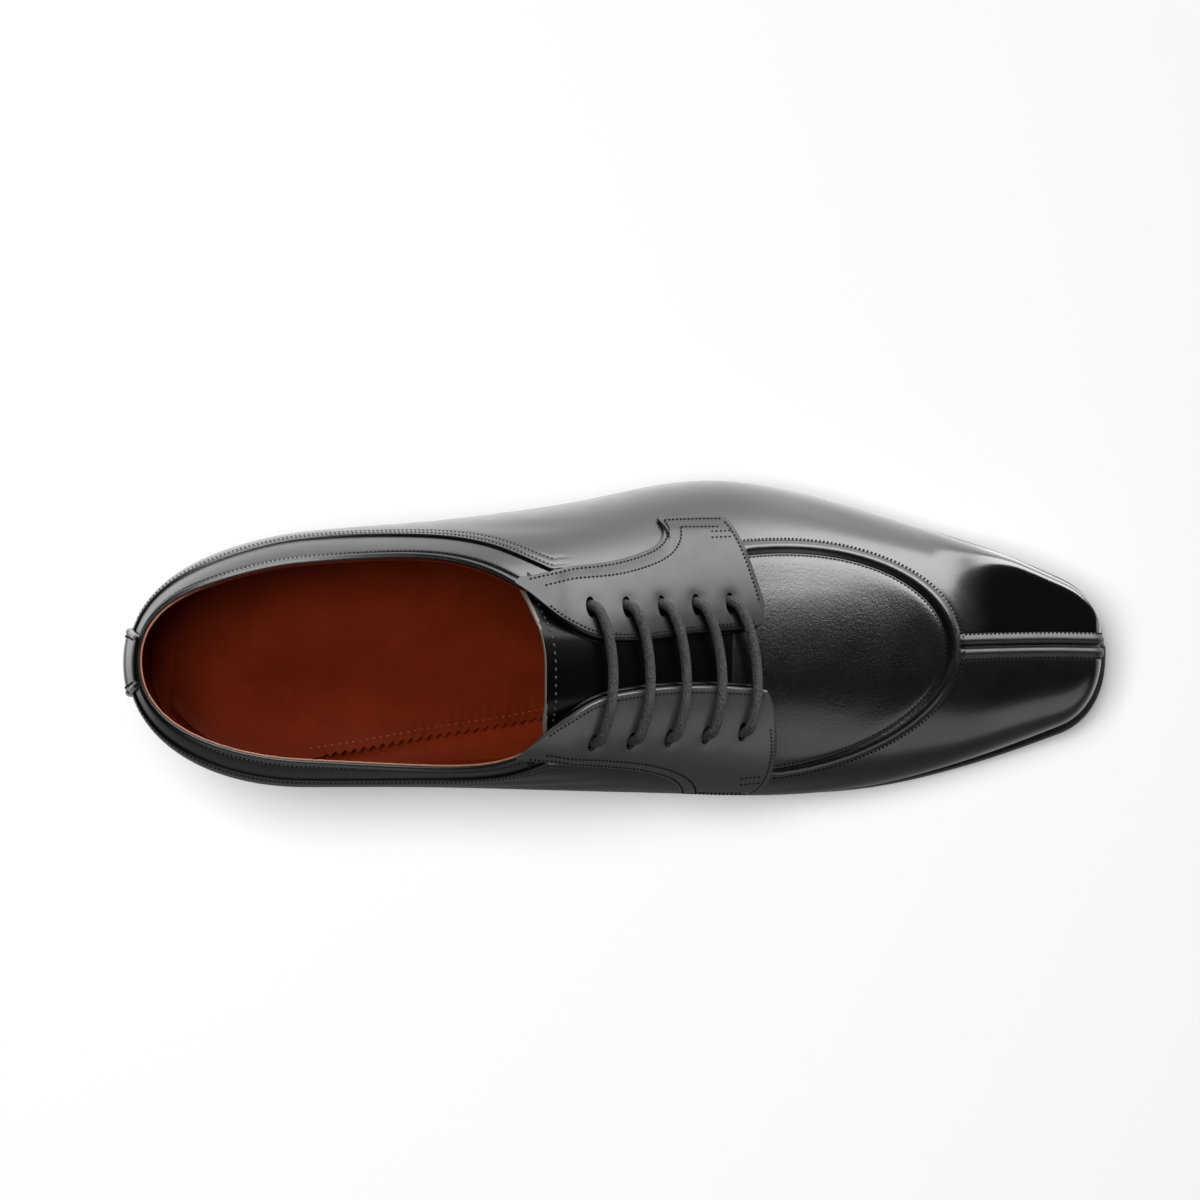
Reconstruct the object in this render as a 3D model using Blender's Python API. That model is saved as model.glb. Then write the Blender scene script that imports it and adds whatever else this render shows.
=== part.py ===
"""Left derby shoe with a raised apron seam and a split toe, standing empty on its sole.

The tables and sizes are in millimetres and become metres when a mesh is made. The working frame has x
from the back of the heel to the toe, y to the outer (lateral) side and z up from the floor. The empty
"shoe" moves that frame so that the finished part has its origin under the middle of its box.

The shape of the last is one function, last_point(x, share, side): x picks a cross-section, and share
runs up that section from 0 at the feather edge, where upper meets sole, past the widest height to 1 on
the ridge.
"""

import math

import bpy
import numpy as np
from mathutils import Vector

MM = 0.001
LATERAL, MEDIAL = 1, -1
GAP = 0.4  # clearance between pieces that touch on the real shoe

# Main sizes
SHOE_LENGTH = 300.0
FRAME_X = 149.85  # middle of the finished part's box in the working frame
FRAME_Y = 5.25
TOE_X = 298.2  # front of the upper
HEEL_RUN = 54.0  # length of the rounded back of the plan
HEEL_SQUARENESS = 2.15
TOE_RUN = 13.5  # length of the rounded corners of the squared toe
TOE_SQUARENESS = 2.6
TOE_ROLL = 24.0  # length over which the toe's top turns down to its front
TOE_ROLL_POWER = 2.4
WIDE_SHARE = 0.25  # the share at which a section is widest
BACK_LEAN = 6.0  # how far the collar leans forward over the back of the heel
BACK_LEAN_RISE = 36.0  # over this height above the widest
BACK_LEAN_RUN = 70.0

# Layers from the floor up
SOLE_THICK = 4.5
WELT_THICK = 2.6
FEATHER_RISE = SOLE_THICK + WELT_THICK + 2 * GAP  # upper's lower edge above the sole's underside
HEEL_BREAST_X = 80.0
HEEL_BREAST_SLANT = 3.0  # the breast's foot lies this far behind its top
HEEL_PROFILE = ((3.2, 0.0), (2.6, 0.12), (1.0, 0.55), (0.2, 1.0))  # inset from the edge, share of height
SOLE_PROFILE = ((-1.2, 0.0), (-0.1, 0.9), (0.2, 2.25), (-0.1, 3.9), (-0.5, 4.5))  # reach, height
WELT_BULGE = 0.3
INSOLE_BEVEL = 0.8
TOE_OUTLINE_RUN = 28.0  # the outline's points close up over this run to the toe
INSOLE_RISE = 3.5  # top of the insole above the feather edge
INSOLE_INSET = 3.0
WELT_INSET = 2.6

# Upper
WALL = 2.4
BAND_SINK = 0.8  # the collar band lies this far below the quarter's edge
GIRTH_QUARTER = 85.0  # length of a section from feather edge to ridge
THROAT_X = 189.0  # where the vamp ends and the tongue begins
SLOT_HALF = 26.0  # half width of the slot under the facings, which the tongue fills
COLLAR_END_X = 117.0
SLOT_START_X = 131.0
BAND_FADE_X = (108.0, 119.0)  # the band's step runs out here, under the facing
BAND_TO_APRON_X = (118.0, 170.0)  # under the facing the band's line turns into the apron's
BAND_LEAST_SHARE = 0.07  # and stays this share of a section below the upper's edge

# Apron: half an ellipse over the vamp, with a raised seam
APRON_CENTRE_X = 192.0
APRON_LENGTH = 59.0
APRON_HALF_WIDTH = 34.5
SEAM_START_X = 196.5
SEAM_FADE = 4.0
SEAM_ROWS_FRONT = np.array([-2.4, -1.2, 0.0, 1.2, 2.4])  # distances across the apron seam
SEAM_ROWS_REAR = np.array([-2.4, -1.2, 0.0, 0.2, 2.4])  # distances across the quarter's edge
SEAM_LIFT = np.array([0.0, 0.85, 1.15, 0.45, -0.25])

# Toe seam: two lips beside a groove, from the apron to the toe's front
SEAM_OFFSETS = np.array([0.0, 1.0, 2.2, 3.6])  # from the groove, over a lip, to its foot
SEAM_HEIGHTS = np.array([-0.5, 0.2, 0.9, 0.0])
SEAM_CLEAR = 1.4  # from a lip's foot to the next plan line
SEAM_THROAT_SHARE = 0.7  # how far the seam's plan lines spread again at the throat

# How finely the pieces are divided
HEEL_STEPS = 9
REAR_STEPS = 16
FAN_STEPS = 13
SIDE_ROWS = 10
LOW_ROWS = 2  # of those, the rows below the widest height
PLUG_ROWS = 5
FACING_COLUMNS = 37
FACING_ROWS = 7
TONGUE_ROWS = 13
TONGUE_COLUMNS = 15
STRIP_COLUMNS = 9
STRIP_ROWS = 13
OUTLINE_TURN_STEPS = 10
OUTLINE_SIDE_STEPS = 22
LACE_SIDES = 8
LACE_STEPS = 9

# Facings and laces
FACING_THICK = 1.6
THROAT_HALF = 7.6
THROAT_FLARE = 1.6  # how much wider the throat is at its front, from THROAT_FLARE_X on
THROAT_FLARE_X = 165.0
THROAT_START_X = (114.5, 141.5)  # over this run the facing's edge leaves the collar for the throat
FACING_FRONT_X = 194.0
EYELETS = 5
EYELET_FIRST_X = {LATERAL: 140.2, MEDIAL: 140.6}
EYELET_PITCH = {LATERAL: 10.7, MEDIAL: 11.3}
EYELET_OFFSET = {LATERAL: 18.8, MEDIAL: 21.4}  # from the centre line
EYELET_RADIUS = 2.1
EYELET_CUT = 8.0  # length of the cutter
LACE_RADIUS = 1.3
LACE_BOW = 5.0  # the bars bow towards the toe
LACE_BEND = 2.0
LACE_SUNK = 1.0  # how far its ends reach into the eyelets
LACE_SPAN = (0.16, 0.84)  # the part of a bar between its bends

# Tongue and back strip
TONGUE_TOP_X = 127.5
TONGUE_SLANT = 6.5  # its lateral corner reaches this much further back
TONGUE_THICK = 2.0
TONGUE_TOP_HALF = 17.0
TONGUE_FULL_X = 157.0  # from here on the tongue fills the slot
TONGUE_CLEAR = 0.7
STRIP_HALF = 9.0
STRIP_THICK = 0.8
STRIP_FOOT_SHARE = 0.01  # it ends just above the feather edge

BLACK_LEATHER = (0.012, 0.012, 0.013)
LINING_LEATHER = (0.23, 0.06, 0.022)
SOLE_BLACK = (0.014, 0.013, 0.013)
LACE_BLACK = (0.02, 0.02, 0.021)


def table(columns, *rows):
    """A table with named columns."""
    return dict(zip(columns, np.array(rows, float).T))


# Half widths are from the centre line, at the widest height. Tucks are how far the feather edge lies
# inside.
LAST = table(
    ("x", "lateral", "medial", "centre", "wide", "ridge", "lateral_round", "medial_round",
     "lateral_tuck", "medial_tuck"),
    (0, 37.8, 37.8, -2.6, 56.0, 104.0, 0.80, 0.70, 3.0, 3.0),
    (30, 38.0, 37.6, -2.7, 55.0, 97.0, 0.85, 0.60, 3.5, 3.5),
    (60, 41.0, 37.4, -2.9, 52.0, 93.0, 0.88, 0.55, 5.0, 5.5),
    (90, 44.2, 36.9, -3.5, 48.0, 97.0, 0.84, 0.50, 8.0, 9.0),
    (115, 48.5, 36.3, -4.7, 45.0, 104.0, 1.04, 0.60, 10.0, 12.0),
    (140, 53.2, 36.8, -5.0, 40.0, 97.0, 1.00, 0.86, 10.0, 12.0),
    (165, 57.4, 38.8, -3.8, 32.0, 81.0, 0.98, 0.90, 6.5, 7.0),
    (190, 55.9, 41.2, -2.1, 26.0, 66.0, 0.95, 0.90, 3.0, 3.0),
    (210, 50.6, 42.0, -0.5, 22.0, 56.5, 0.90, 0.86, 2.2, 2.0),
    (230, 43.3, 40.7, 1.0, 20.0, 49.8, 0.82, 0.80, 1.6, 1.4),
    (250, 35.6, 36.8, 2.3, 20.0, 44.6, 0.62, 0.72, 1.0, 0.8),
    (270, 27.6, 30.8, 3.0, 21.0, 40.4, 0.36, 0.56, 0.6, 0.4),
    (285, 20.6, 25.2, 3.2, 22.5, 37.2, 0.28, 0.48, 0.4, 0.2),
    (298, 14.8, 20.0, 3.0, 24.0, 34.0, 0.26, 0.44, 0.3, 0.2),
)

# Underside of the outsole: level under the ball, sprung at the toe, raised over the heel
SOLE_LINE = table(
    ("x", "z"),
    (0, 25.0), (40, 24.2), (75, 21.6), (105, 15.6), (135, 8.2), (160, 2.6), (182, 0.0),
    (198, 0.0), (214, 0.0), (240, 1.6), (270, 6.0), (300, 12.0),
)

# How far welt and sole stand out past the feather edge
WELT_REACH = table(
    ("x", "lateral", "medial"),
    (0, 1.4, 1.4), (60, 1.2, 1.0), (125, 0.8, 0.6), (190, 1.6, 1.8), (230, 1.8, 2.2), (300, 1.8, 2.6),
)

# Height of the collar's edge, and of the line where the quarter overlaps the collar band
TOPLINE = table(
    ("x", "lateral", "medial", "band_drop"),
    (0, 91.0, 91.0, 13.0),
    (25, 86.5, 87.5, 12.0),
    (50, 81.0, 82.5, 12.5),
    (75, 79.5, 80.0, 10.5),
    (95, 83.0, 81.5, 8.0),
    (110, 89.0, 86.0, 6.5),
    (122, 94.0, 91.5, 6.0),
    (135, 96.0, 95.0, 5.5),
)

# Outer edge of the facings from the collar, round the tab, to the throat, and the throat point opposite
FACING_EDGE = table(
    ("along", "lateral_x", "lateral_share", "medial_x", "medial_share", "throat_x"),
    (0.00, 120.5, 0.715, 120.5, 0.660, 121.5),
    (0.14, 134.0, 0.700, 134.0, 0.620, 137.0),
    (0.26, 147.0, 0.695, 147.0, 0.590, 150.0),
    (0.36, 156.0, 0.685, 159.0, 0.555, 161.0),
    (0.43, 159.6, 0.655, 165.0, 0.495, 169.0),
    (0.49, 159.6, 0.610, 166.0, 0.420, 173.0),
    (0.52, 160.0, 0.592, 166.5, 0.385, 175.0),
    (0.60, 166.0, 0.589, 173.5, 0.375, 178.0),
    (0.69, 175.5, 0.589, 184.0, 0.375, 182.0),
    (0.73, 179.3, 0.597, 188.0, 0.390, 184.0),
    (0.80, 182.8, 0.655, 191.7, 0.480, 186.5),
    (0.89, 187.3, 0.735, 194.3, 0.600, 190.0),
    (0.96, 191.0, 0.800, 195.4, 0.710, 192.2),
    (1.00, 192.8, 0.845, 195.4, 0.765, 194.2),
)


def smooth(xs, ys, x):
    """A smooth curve through the points (xs, ys), read at x."""
    slopes = np.gradient(ys, xs)
    i = np.clip(np.searchsorted(xs, x) - 1, 0, len(xs) - 2)
    run = xs[i + 1] - xs[i]
    t = np.clip((x - xs[i]) / run, 0, 1)
    start = ys[i] * (1 + 2 * t) * (1 - t) ** 2 + slopes[i] * run * t * (1 - t) ** 2
    end = ys[i + 1] * t * t * (3 - 2 * t) + slopes[i + 1] * run * t * t * (t - 1)
    return start + end


def read(rows, column, x):
    """A table's column at x."""
    return smooth(rows["x"], rows[column], np.asarray(x, float))


def by_side(side):
    return "lateral" if side == LATERAL else "medial"


def ease(low, high, x):
    """0 below low, 1 above high, and a smooth step between."""
    t = np.clip((np.asarray(x, float) - low) / (high - low), 0, 1)
    return t * t * (3 - 2 * t)


def half_width(x, side):
    """Half width of the last at its widest height, rounded at the heel and squared at the toe."""
    heel = np.clip(1 - np.asarray(x, float) / HEEL_RUN, 0, 1)
    toe = np.clip((np.asarray(x, float) - TOE_X + TOE_RUN) / TOE_RUN, 0, 1)
    back = (1 - heel**HEEL_SQUARENESS) ** (1 / HEEL_SQUARENESS)
    front = (1 - toe**TOE_SQUARENESS) ** (1 / TOE_SQUARENESS)
    return read(LAST, by_side(side), x) * back * front


def sole_height(x):
    """Height of the sole's underside, never below the floor."""
    return np.maximum(read(SOLE_LINE, "z", np.clip(x, 0, SHOE_LENGTH)), 0)


def feather_height(x):
    return sole_height(x) + FEATHER_RISE


def ridge_height(x):
    """Top of a section, turned down over the toe to the widest height at its front."""
    roll = np.clip((np.asarray(x, float) - TOE_X + TOE_ROLL) / TOE_ROLL, 0, 1)
    share = (1 - roll**TOE_ROLL_POWER) ** (1 / TOE_ROLL_POWER)
    wide = read(LAST, "wide", x)
    return wide + (read(LAST, "ridge", x) - wide) * share


def last_point(x, share, side):
    """The point of the last's surface at section x, a share of the way up one side."""
    x, share = np.broadcast_arrays(np.asarray(x, float), np.asarray(share, float))
    turn = np.clip((share - WIDE_SHARE) / (1 - WIDE_SHARE), 0, 1) * math.pi / 2
    below = np.clip(1 - share / WIDE_SHARE, 0, 1)
    wide = read(LAST, "wide", x)
    z = wide + (ridge_height(x) - wide) * np.sin(turn) - (wide - feather_height(x)) * below
    tuck = read(LAST, by_side(side) + "_tuck", x) * below**2
    spread = half_width(x, side) * np.cos(turn) ** read(LAST, by_side(side) + "_round", x)
    ends = half_width(x, side) / read(LAST, by_side(side), x)
    y = read(LAST, "centre", x) + side * (spread - tuck * ends)
    near_back = np.clip(1 - x / BACK_LEAN_RUN, 0, 1) ** 2
    lean = BACK_LEAN * (np.clip(z - wide, 0, None) / BACK_LEAN_RISE) ** 2
    near_toe = np.clip((x - TOE_X + TOE_RUN) / TOE_RUN, 0, 1) ** 2
    return np.stack([x + near_back * (lean + tuck) - near_toe * tuck, y, z], -1)


def share_at_offset(x, offset, side):
    """The share where a section is offset from the centre line by that much."""
    ratio = np.clip(np.asarray(offset, float) / np.maximum(half_width(x, side), 1e-6), 0, 1)
    turn = np.arccos(ratio ** (1 / read(LAST, by_side(side) + "_round", x)))
    return WIDE_SHARE + (1 - WIDE_SHARE) * turn * 2 / math.pi


def share_at_height(x, z):
    """The share where a section reaches a height above its widest."""
    wide = read(LAST, "wide", x)
    turn = np.arcsin(np.clip((z - wide) / (ridge_height(x) - wide), 0, 1))
    return WIDE_SHARE + (1 - WIDE_SHARE) * turn * 2 / math.pi


def slot_edge(x, side):
    """Edge of the upper: the collar at the back, then the slot that the facings cover."""
    collar = share_at_height(x, read(TOPLINE, by_side(side), np.minimum(x, SLOT_START_X)))
    slot = share_at_offset(x, SLOT_HALF, side)
    blend = ease(COLLAR_END_X, SLOT_START_X, x)
    return collar * (1 - blend) + slot * blend


def throat_edge(x, side):
    """Inner edge of a facing: it leaves the collar and runs beside the tongue."""
    collar = share_at_height(x, read(TOPLINE, by_side(side), np.minimum(x, SLOT_START_X)))
    half = THROAT_HALF + THROAT_FLARE * ease(THROAT_FLARE_X, FACING_FRONT_X, x)
    throat = share_at_offset(x, half, side)
    blend = ease(*THROAT_START_X, x)
    return collar * (1 - blend) + throat * blend


def band_edge(x, side):
    """Line where the quarter laps the collar band; under the facing it becomes the apron's line."""
    height = read(TOPLINE, by_side(side), x) - read(TOPLINE, "band_drop", x)
    band = share_at_height(x, height)
    apron = share_at_offset(x, APRON_HALF_WIDTH, side)
    blend = ease(*BAND_TO_APRON_X, x)
    return band * (1 - blend) + apron * blend


def grid_normals(points, wrap):
    """Unit normals of a grid of points, rows by columns, pointing out of the last."""
    up = np.gradient(points, axis=0)
    if wrap:
        along = np.roll(points, -1, axis=1) - np.roll(points, 1, axis=1)
    else:
        along = np.gradient(points, axis=1)
    normal = np.cross(along, up)
    return normal / np.maximum(np.linalg.norm(normal, axis=-1, keepdims=True), 1e-9)


def material(name, colour, roughness):
    made = bpy.data.materials.new(name)
    made.use_nodes = True
    shader = made.node_tree.nodes["Principled BSDF"]
    shader.inputs["Base Color"].default_value = (*colour, 1)
    shader.inputs["Roughness"].default_value = roughness
    shader.inputs["Metallic"].default_value = 0
    return made


def solid(name, points, faces, finish, smooth_angle=0.6):
    """A named object from points in millimetres and faces."""
    mesh = bpy.data.meshes.new(name)
    mesh.from_pydata((np.asarray(points) * MM).tolist(), [], faces)
    mesh.validate()
    mesh.shade_smooth()
    mesh.set_sharp_from_angle(angle=smooth_angle)
    mesh.materials.append(finish)
    obj = bpy.data.objects.new(name, mesh)
    bpy.context.scene.collection.objects.link(obj)
    obj.parent = bpy.data.objects["shoe"]
    return obj


def strip_faces(first, second, wrap):
    """Quads between two rows of point numbers."""
    count = len(first)
    last = count if wrap else count - 1
    pairs = [(i, (i + 1) % count) for i in range(last)]
    return [(first[i], first[j], second[j], second[i]) for i, j in pairs]


def tube_of_rows(name, loops, finish, smooth_angle=0.6):
    """A closed ring solid: loops of points in order round its cross-section."""
    count = len(loops[0])
    numbers = [list(range(k * count, (k + 1) * count)) for k in range(len(loops))]
    faces = []
    for k, row in enumerate(numbers):
        faces += strip_faces(row, numbers[(k + 1) % len(numbers)], True)
    return solid(name, np.concatenate(loops), faces, finish, smooth_angle)


def capped_loops(name, loops, finish, flat_foot=False, smooth_angle=0.6):
    """A closed solid: loops of points from its underside to its top, closed by caps across."""
    count = len(loops[0])
    numbers = [list(range(k * count, (k + 1) * count)) for k in range(len(loops))]
    faces = []
    for low, high in zip(numbers, numbers[1:]):
        faces += strip_faces(low, high, True)
    faces += [tuple(reversed(numbers[0]))] if flat_foot else ladder_cap(numbers[0], False)
    faces += ladder_cap(numbers[-1], True)
    return solid(name, np.concatenate(loops), faces, finish, smooth_angle)


def ladder_cap(row, upward):
    """Faces across a loop whose first and middle points lie on its long axis."""
    count = len(row)
    faces = []
    for i in range(count // 2):
        a, b = row[i], row[i + 1]
        c, d = row[(count - i - 1) % count], row[(count - i) % count]
        corners = [n for k, n in enumerate((a, b, c, d)) if n not in (a, b, c, d)[:k]]
        faces.append(tuple(corners if upward else reversed(corners)))
    return faces


def sheet(name, low, high, finish):
    """A closed sheet between two grids of points, the lower and the upper face."""
    rows, columns = low.shape[:2]
    under = np.arange(rows * columns).reshape(rows, columns)
    over = under + rows * columns
    faces = []
    for k in range(rows - 1):
        faces += strip_faces(over[k].tolist(), over[k + 1].tolist(), False)
        faces += strip_faces(under[k + 1].tolist(), under[k].tolist(), False)
    rims = ((under[0], over[0]), (over[-1], under[-1]),
            (over[:, 0], under[:, 0]), (under[:, -1], over[:, -1]))
    for a, b in rims:
        faces += strip_faces(a.tolist(), b.tolist(), False)
    points = np.concatenate([low.reshape(-1, 3), high.reshape(-1, 3)])
    return solid(name, points, faces, finish)


def rear_stations():
    """Sections from the back of the heel to the throat, closer together round the heel."""
    turns = np.linspace(0, math.pi / 2, HEEL_STEPS)
    heel = HEEL_RUN * (1 - np.cos(turns))
    return np.concatenate([heel, np.linspace(HEEL_RUN, THROAT_X, REAR_STEPS)[1:]])


def resample(points, count):
    """Points evenly spaced along a polyline."""
    run = np.concatenate([[0], np.cumsum(np.linalg.norm(np.diff(points, axis=0), axis=1))])
    return np.stack([np.interp(np.linspace(0, run[-1], count), run, column) for column in points.T], -1)


def toe_fan(side):
    """Plan lines from the outline of the forepart, over the apron seam, to the end of the vamp.

    Each is three points (x, offset from the centre line); the last four lie along the toe seam.
    """
    turn = np.linspace(0, math.pi / 2, 200)
    run = THROAT_X + (TOE_X - THROAT_X) * np.sin(turn)
    outline = np.stack([run, half_width(run, side)], -1)
    apron_turn = np.linspace(math.asin((THROAT_X - APRON_CENTRE_X) / APRON_LENGTH), math.pi / 2, 200)
    apron = np.stack([APRON_CENTRE_X + APRON_LENGTH * np.sin(apron_turn),
                      APRON_HALF_WIDTH * np.cos(apron_turn)], -1)
    ends = [line[line[:, 1] > SEAM_OFFSETS[-1] + SEAM_CLEAR] for line in (outline, apron)]
    feet = [resample(line, FAN_STEPS) for line in ends]
    seam = SEAM_OFFSETS[::-1]
    tips = [np.stack([np.interp(seam, line[::-1, 1], line[::-1, 0]), seam], -1) for line in (outline, apron)]
    outer, inner = (np.concatenate(pair) for pair in zip(feet, tips))
    spread = np.linspace(SLOT_HALF, 0, FAN_STEPS + 1)[:-1]
    seam_spread = seam / SEAM_OFFSETS[-1] * spread[-1] * SEAM_THROAT_SHARE
    throat_offsets = np.concatenate([spread, seam_spread])
    throat = np.stack([np.full(len(outer), THROAT_X), throat_offsets], -1)
    return outer, inner, throat


def rear_column(x, side):
    """Shares of one section's rows, and the lift of each off the last."""
    edge = slot_edge(x, side)
    line = np.minimum(band_edge(x, side), edge - BAND_LEAST_SHARE)
    near = line + SEAM_ROWS_REAR / GIRTH_QUARTER
    low = np.linspace(0, WIDE_SHARE, LOW_ROWS + 1)[:-1]
    side_rows = np.linspace(WIDE_SHARE, near[0], SIDE_ROWS - LOW_ROWS)[:-1]
    shares = np.concatenate([low, side_rows, near, np.linspace(near[-1], edge, PLUG_ROWS)[1:]])
    sink = BAND_SINK * (1 - ease(*BAND_FADE_X, x))
    lift = np.where(np.arange(len(shares)) > SIDE_ROWS + 1, -sink, 0.0)
    return np.full(len(shares), x), shares, lift


def fan_column(outer, inner, throat, side):
    """The rows of one plan line of the forepart as sections and shares, and the lift of each."""
    full = (share_at_offset(inner[0], inner[1], side) - WIDE_SHARE) / (1 - WIDE_SHARE)
    bend = read(LAST, by_side(side) + "_round", inner[0])
    turn = np.linspace(0, 1, SIDE_ROWS - LOW_ROWS) * full * math.pi / 2
    way = (1 - np.cos(turn) ** bend) / (1 - np.cos(turn[-1]) ** bend)
    out_step = (outer - inner) / np.linalg.norm(outer - inner)
    in_step = (throat - inner) / np.linalg.norm(throat - inner)
    near = [inner + (out_step * -d if d < 0 else in_step * d) for d in SEAM_ROWS_FRONT]
    lines = [outer] * LOW_ROWS + [outer + (near[0] - outer) * w for w in way[:-1]] + near
    lines += [near[-1] + (throat - near[-1]) * w for w in np.linspace(0, 1, PLUG_ROWS)[1:]]
    lines = np.array(lines)
    shares = share_at_offset(lines[:, 0], lines[:, 1], side)
    shares[:LOW_ROWS] = np.linspace(0, WIDE_SHARE, LOW_ROWS + 1)[:-1]
    shown = ease(SEAM_START_X, SEAM_START_X + SEAM_FADE, inner[0])
    lift = np.zeros(len(lines))
    lift[SIDE_ROWS - 1:SIDE_ROWS - 1 + len(SEAM_LIFT)] = SEAM_LIFT * shown
    lips = np.interp(lines[:, 1], SEAM_OFFSETS, SEAM_HEIGHTS, right=0)
    in_front = np.arange(len(lines)) < SIDE_ROWS - 1
    lift = np.where(in_front, lips, lift)
    return lines[:, 0], shares, lift


def upper_columns():
    """Every column of the upper in order round the shoe: side, sections, shares and lifts."""
    columns = []
    for side in (LATERAL, MEDIAL):
        half = [(side, *rear_column(x, side)) for x in rear_stations()[:-1]]
        half += [(side, *fan_column(*line, side)) for line in zip(*toe_fan(side))]
        columns.append(half)
    lateral, medial = columns
    return lateral + medial[-2:0:-1]


def build_upper(leather):
    """Hollow upper: outer face with its seams and collar step, smooth inner face, open above and below."""
    columns = upper_columns()
    last = np.stack([last_point(x, share, side) for side, x, share, _ in columns], 1)
    lift = np.stack([column[3] for column in columns], 1)
    normals = -grid_normals(last, True)
    outer = last + normals * lift[..., None]
    smooth_rows = [0, 2, 4, 6, 8, SIDE_ROWS + 1, len(last) - 3, len(last) - 1]
    inner = (last - normals * WALL)[smooth_rows]
    loops = [row[::-1] for row in outer] + [row[::-1] for row in inner[::-1]]
    return tube_of_rows("upper", loops, leather)


def build_facing(side, leather):
    """Facing with its squared tab, laid over the upper and punched for the lace."""
    along = np.linspace(0, 1, FACING_COLUMNS)
    name = by_side(side)
    edge_x = smooth(FACING_EDGE["along"], FACING_EDGE[name + "_x"], along)
    edge_share = smooth(FACING_EDGE["along"], FACING_EDGE[name + "_share"], along)
    throat_x = smooth(FACING_EDGE["along"], FACING_EDGE["throat_x"], along)
    throat_share = throat_edge(throat_x, side)
    steps = np.linspace(0, 1, FACING_ROWS)[:, None]
    x = edge_x + (throat_x - edge_x) * steps
    share = edge_share + (throat_share - edge_share) * steps
    last = last_point(x, share, side)
    if side == LATERAL:
        last = last[:, ::-1]
    normals = grid_normals(last, False)
    facing = sheet("facing_" + name, last + normals * GAP, last + normals * (GAP + FACING_THICK), leather)
    for index in range(EYELETS):
        punch(facing, eyelet_x(index, side), side, f"eyelet_cutter_{name}_{index + 1}")
    return facing


def eyelet_x(index, side):
    return EYELET_FIRST_X[side] + EYELET_PITCH[side] * index


def surface_frame(x, offset):
    """Point and outward normal of the last at a plan position, offset positive to the lateral side."""
    def at(along, across):
        side = LATERAL if across >= 0 else MEDIAL
        return last_point(along, share_at_offset(along, abs(across), side), side)
    step = 1.0
    along = at(x + step, offset) - at(x - step, offset)
    across = at(x, offset + step) - at(x, offset - step)
    normal = np.cross(along, across)
    return at(x, offset), normal / np.linalg.norm(normal)


def punch(facing, x, side, name):
    """A round hole through a facing, square to its face."""
    centre, normal = surface_frame(x, side * EYELET_OFFSET[side])
    bpy.ops.mesh.primitive_cylinder_add(vertices=10, radius=EYELET_RADIUS * MM, depth=EYELET_CUT * MM)
    cutter = bpy.context.object
    cutter.name = name
    cutter.parent = bpy.data.objects["shoe"]
    cutter.rotation_mode = "QUATERNION"
    cutter.rotation_quaternion = Vector((0, 0, 1)).rotation_difference(Vector(normal))
    cutter.location = ((centre + normal * (GAP + FACING_THICK / 2)) * MM).tolist()
    cutter.hide_render = True
    cutter.display_type = "WIRE"
    cut = facing.modifiers.new(name, "BOOLEAN")
    cut.operation = "DIFFERENCE"
    cut.solver = "EXACT" if side == LATERAL else "MANIFOLD"
    cut.object = cutter


def build_tongue(leather):
    """Tongue: it carries the vamp's surface on under the facings, up to its free end behind the throat."""
    rows = []
    for across in np.linspace(-1, 1, TONGUE_ROWS):
        side = LATERAL if across >= 0 else MEDIAL
        top_x = TONGUE_TOP_X - TONGUE_SLANT * max(across, 0) ** 2
        x = np.linspace(top_x, THROAT_X - GAP, TONGUE_COLUMNS)
        spare = SLOT_HALF - TONGUE_CLEAR - TONGUE_TOP_HALF
        half = TONGUE_TOP_HALF + spare * ease(TONGUE_TOP_X, TONGUE_FULL_X, x)
        rows.append(last_point(x, share_at_offset(x, abs(across) * half, side), side))
    points = np.array(rows)
    normals = grid_normals(points, False)
    return sheet("tongue", points - normals * TONGUE_THICK, points, leather)


def build_back_strip(leather):
    """Strip over the back seam, from the feather edge to the collar."""
    turns = np.linspace(1, -1, STRIP_COLUMNS) * math.asin(STRIP_HALF / LAST["lateral"][0])
    columns = []
    for turn in turns:
        side = LATERAL if turn >= 0 else MEDIAL
        x = HEEL_RUN * (1 - math.cos(turn))
        shares = np.linspace(STRIP_FOOT_SHARE, slot_edge(x, side), STRIP_ROWS)
        columns.append(last_point(x, shares, side))
    points = np.stack(columns, 1)
    normals = grid_normals(points, False)
    return sheet("back_strip", points + normals * GAP, points + normals * (GAP + STRIP_THICK), leather)


def outline(reach_name, extra, stations=None):
    """Plan loop from the heel along the medial side to the toe and back, out from the feather edge."""
    turns = np.linspace(0, math.pi / 2, OUTLINE_TURN_STEPS)
    toe_start = TOE_X - TOE_OUTLINE_RUN
    x = np.concatenate([HEEL_RUN * (1 - np.cos(turns)), np.linspace(HEEL_RUN, toe_start, OUTLINE_SIDE_STEPS)[1:],
                        toe_start + TOE_OUTLINE_RUN * np.sin(turns[1:])]) if stations is None else stations
    halves = {side: last_point(x, 0.0, side)[:, :2] for side in (MEDIAL, LATERAL)}
    loop = np.concatenate([halves[MEDIAL], halves[LATERAL][-2:0:-1]])
    sides = np.concatenate([np.full(len(x), MEDIAL), np.full(len(x) - 2, LATERAL)])
    ahead = np.roll(loop, -1, axis=0) - np.roll(loop, 1, axis=0)
    outward = np.stack([ahead[:, 1], -ahead[:, 0]], -1) / np.linalg.norm(ahead, axis=1, keepdims=True)
    reach = np.full(len(loop), extra)
    if reach_name:
        both = [read(reach_name, by_side(s), at) for s, at in zip(sides, loop[:, 0])]
        reach = reach + np.array(both)
    return loop + outward * reach[:, None]


def level(loop, height):
    """A plan loop lifted to a height above the sole's underside."""
    return np.column_stack([loop, sole_height(loop[:, 0]) + height])


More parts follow.
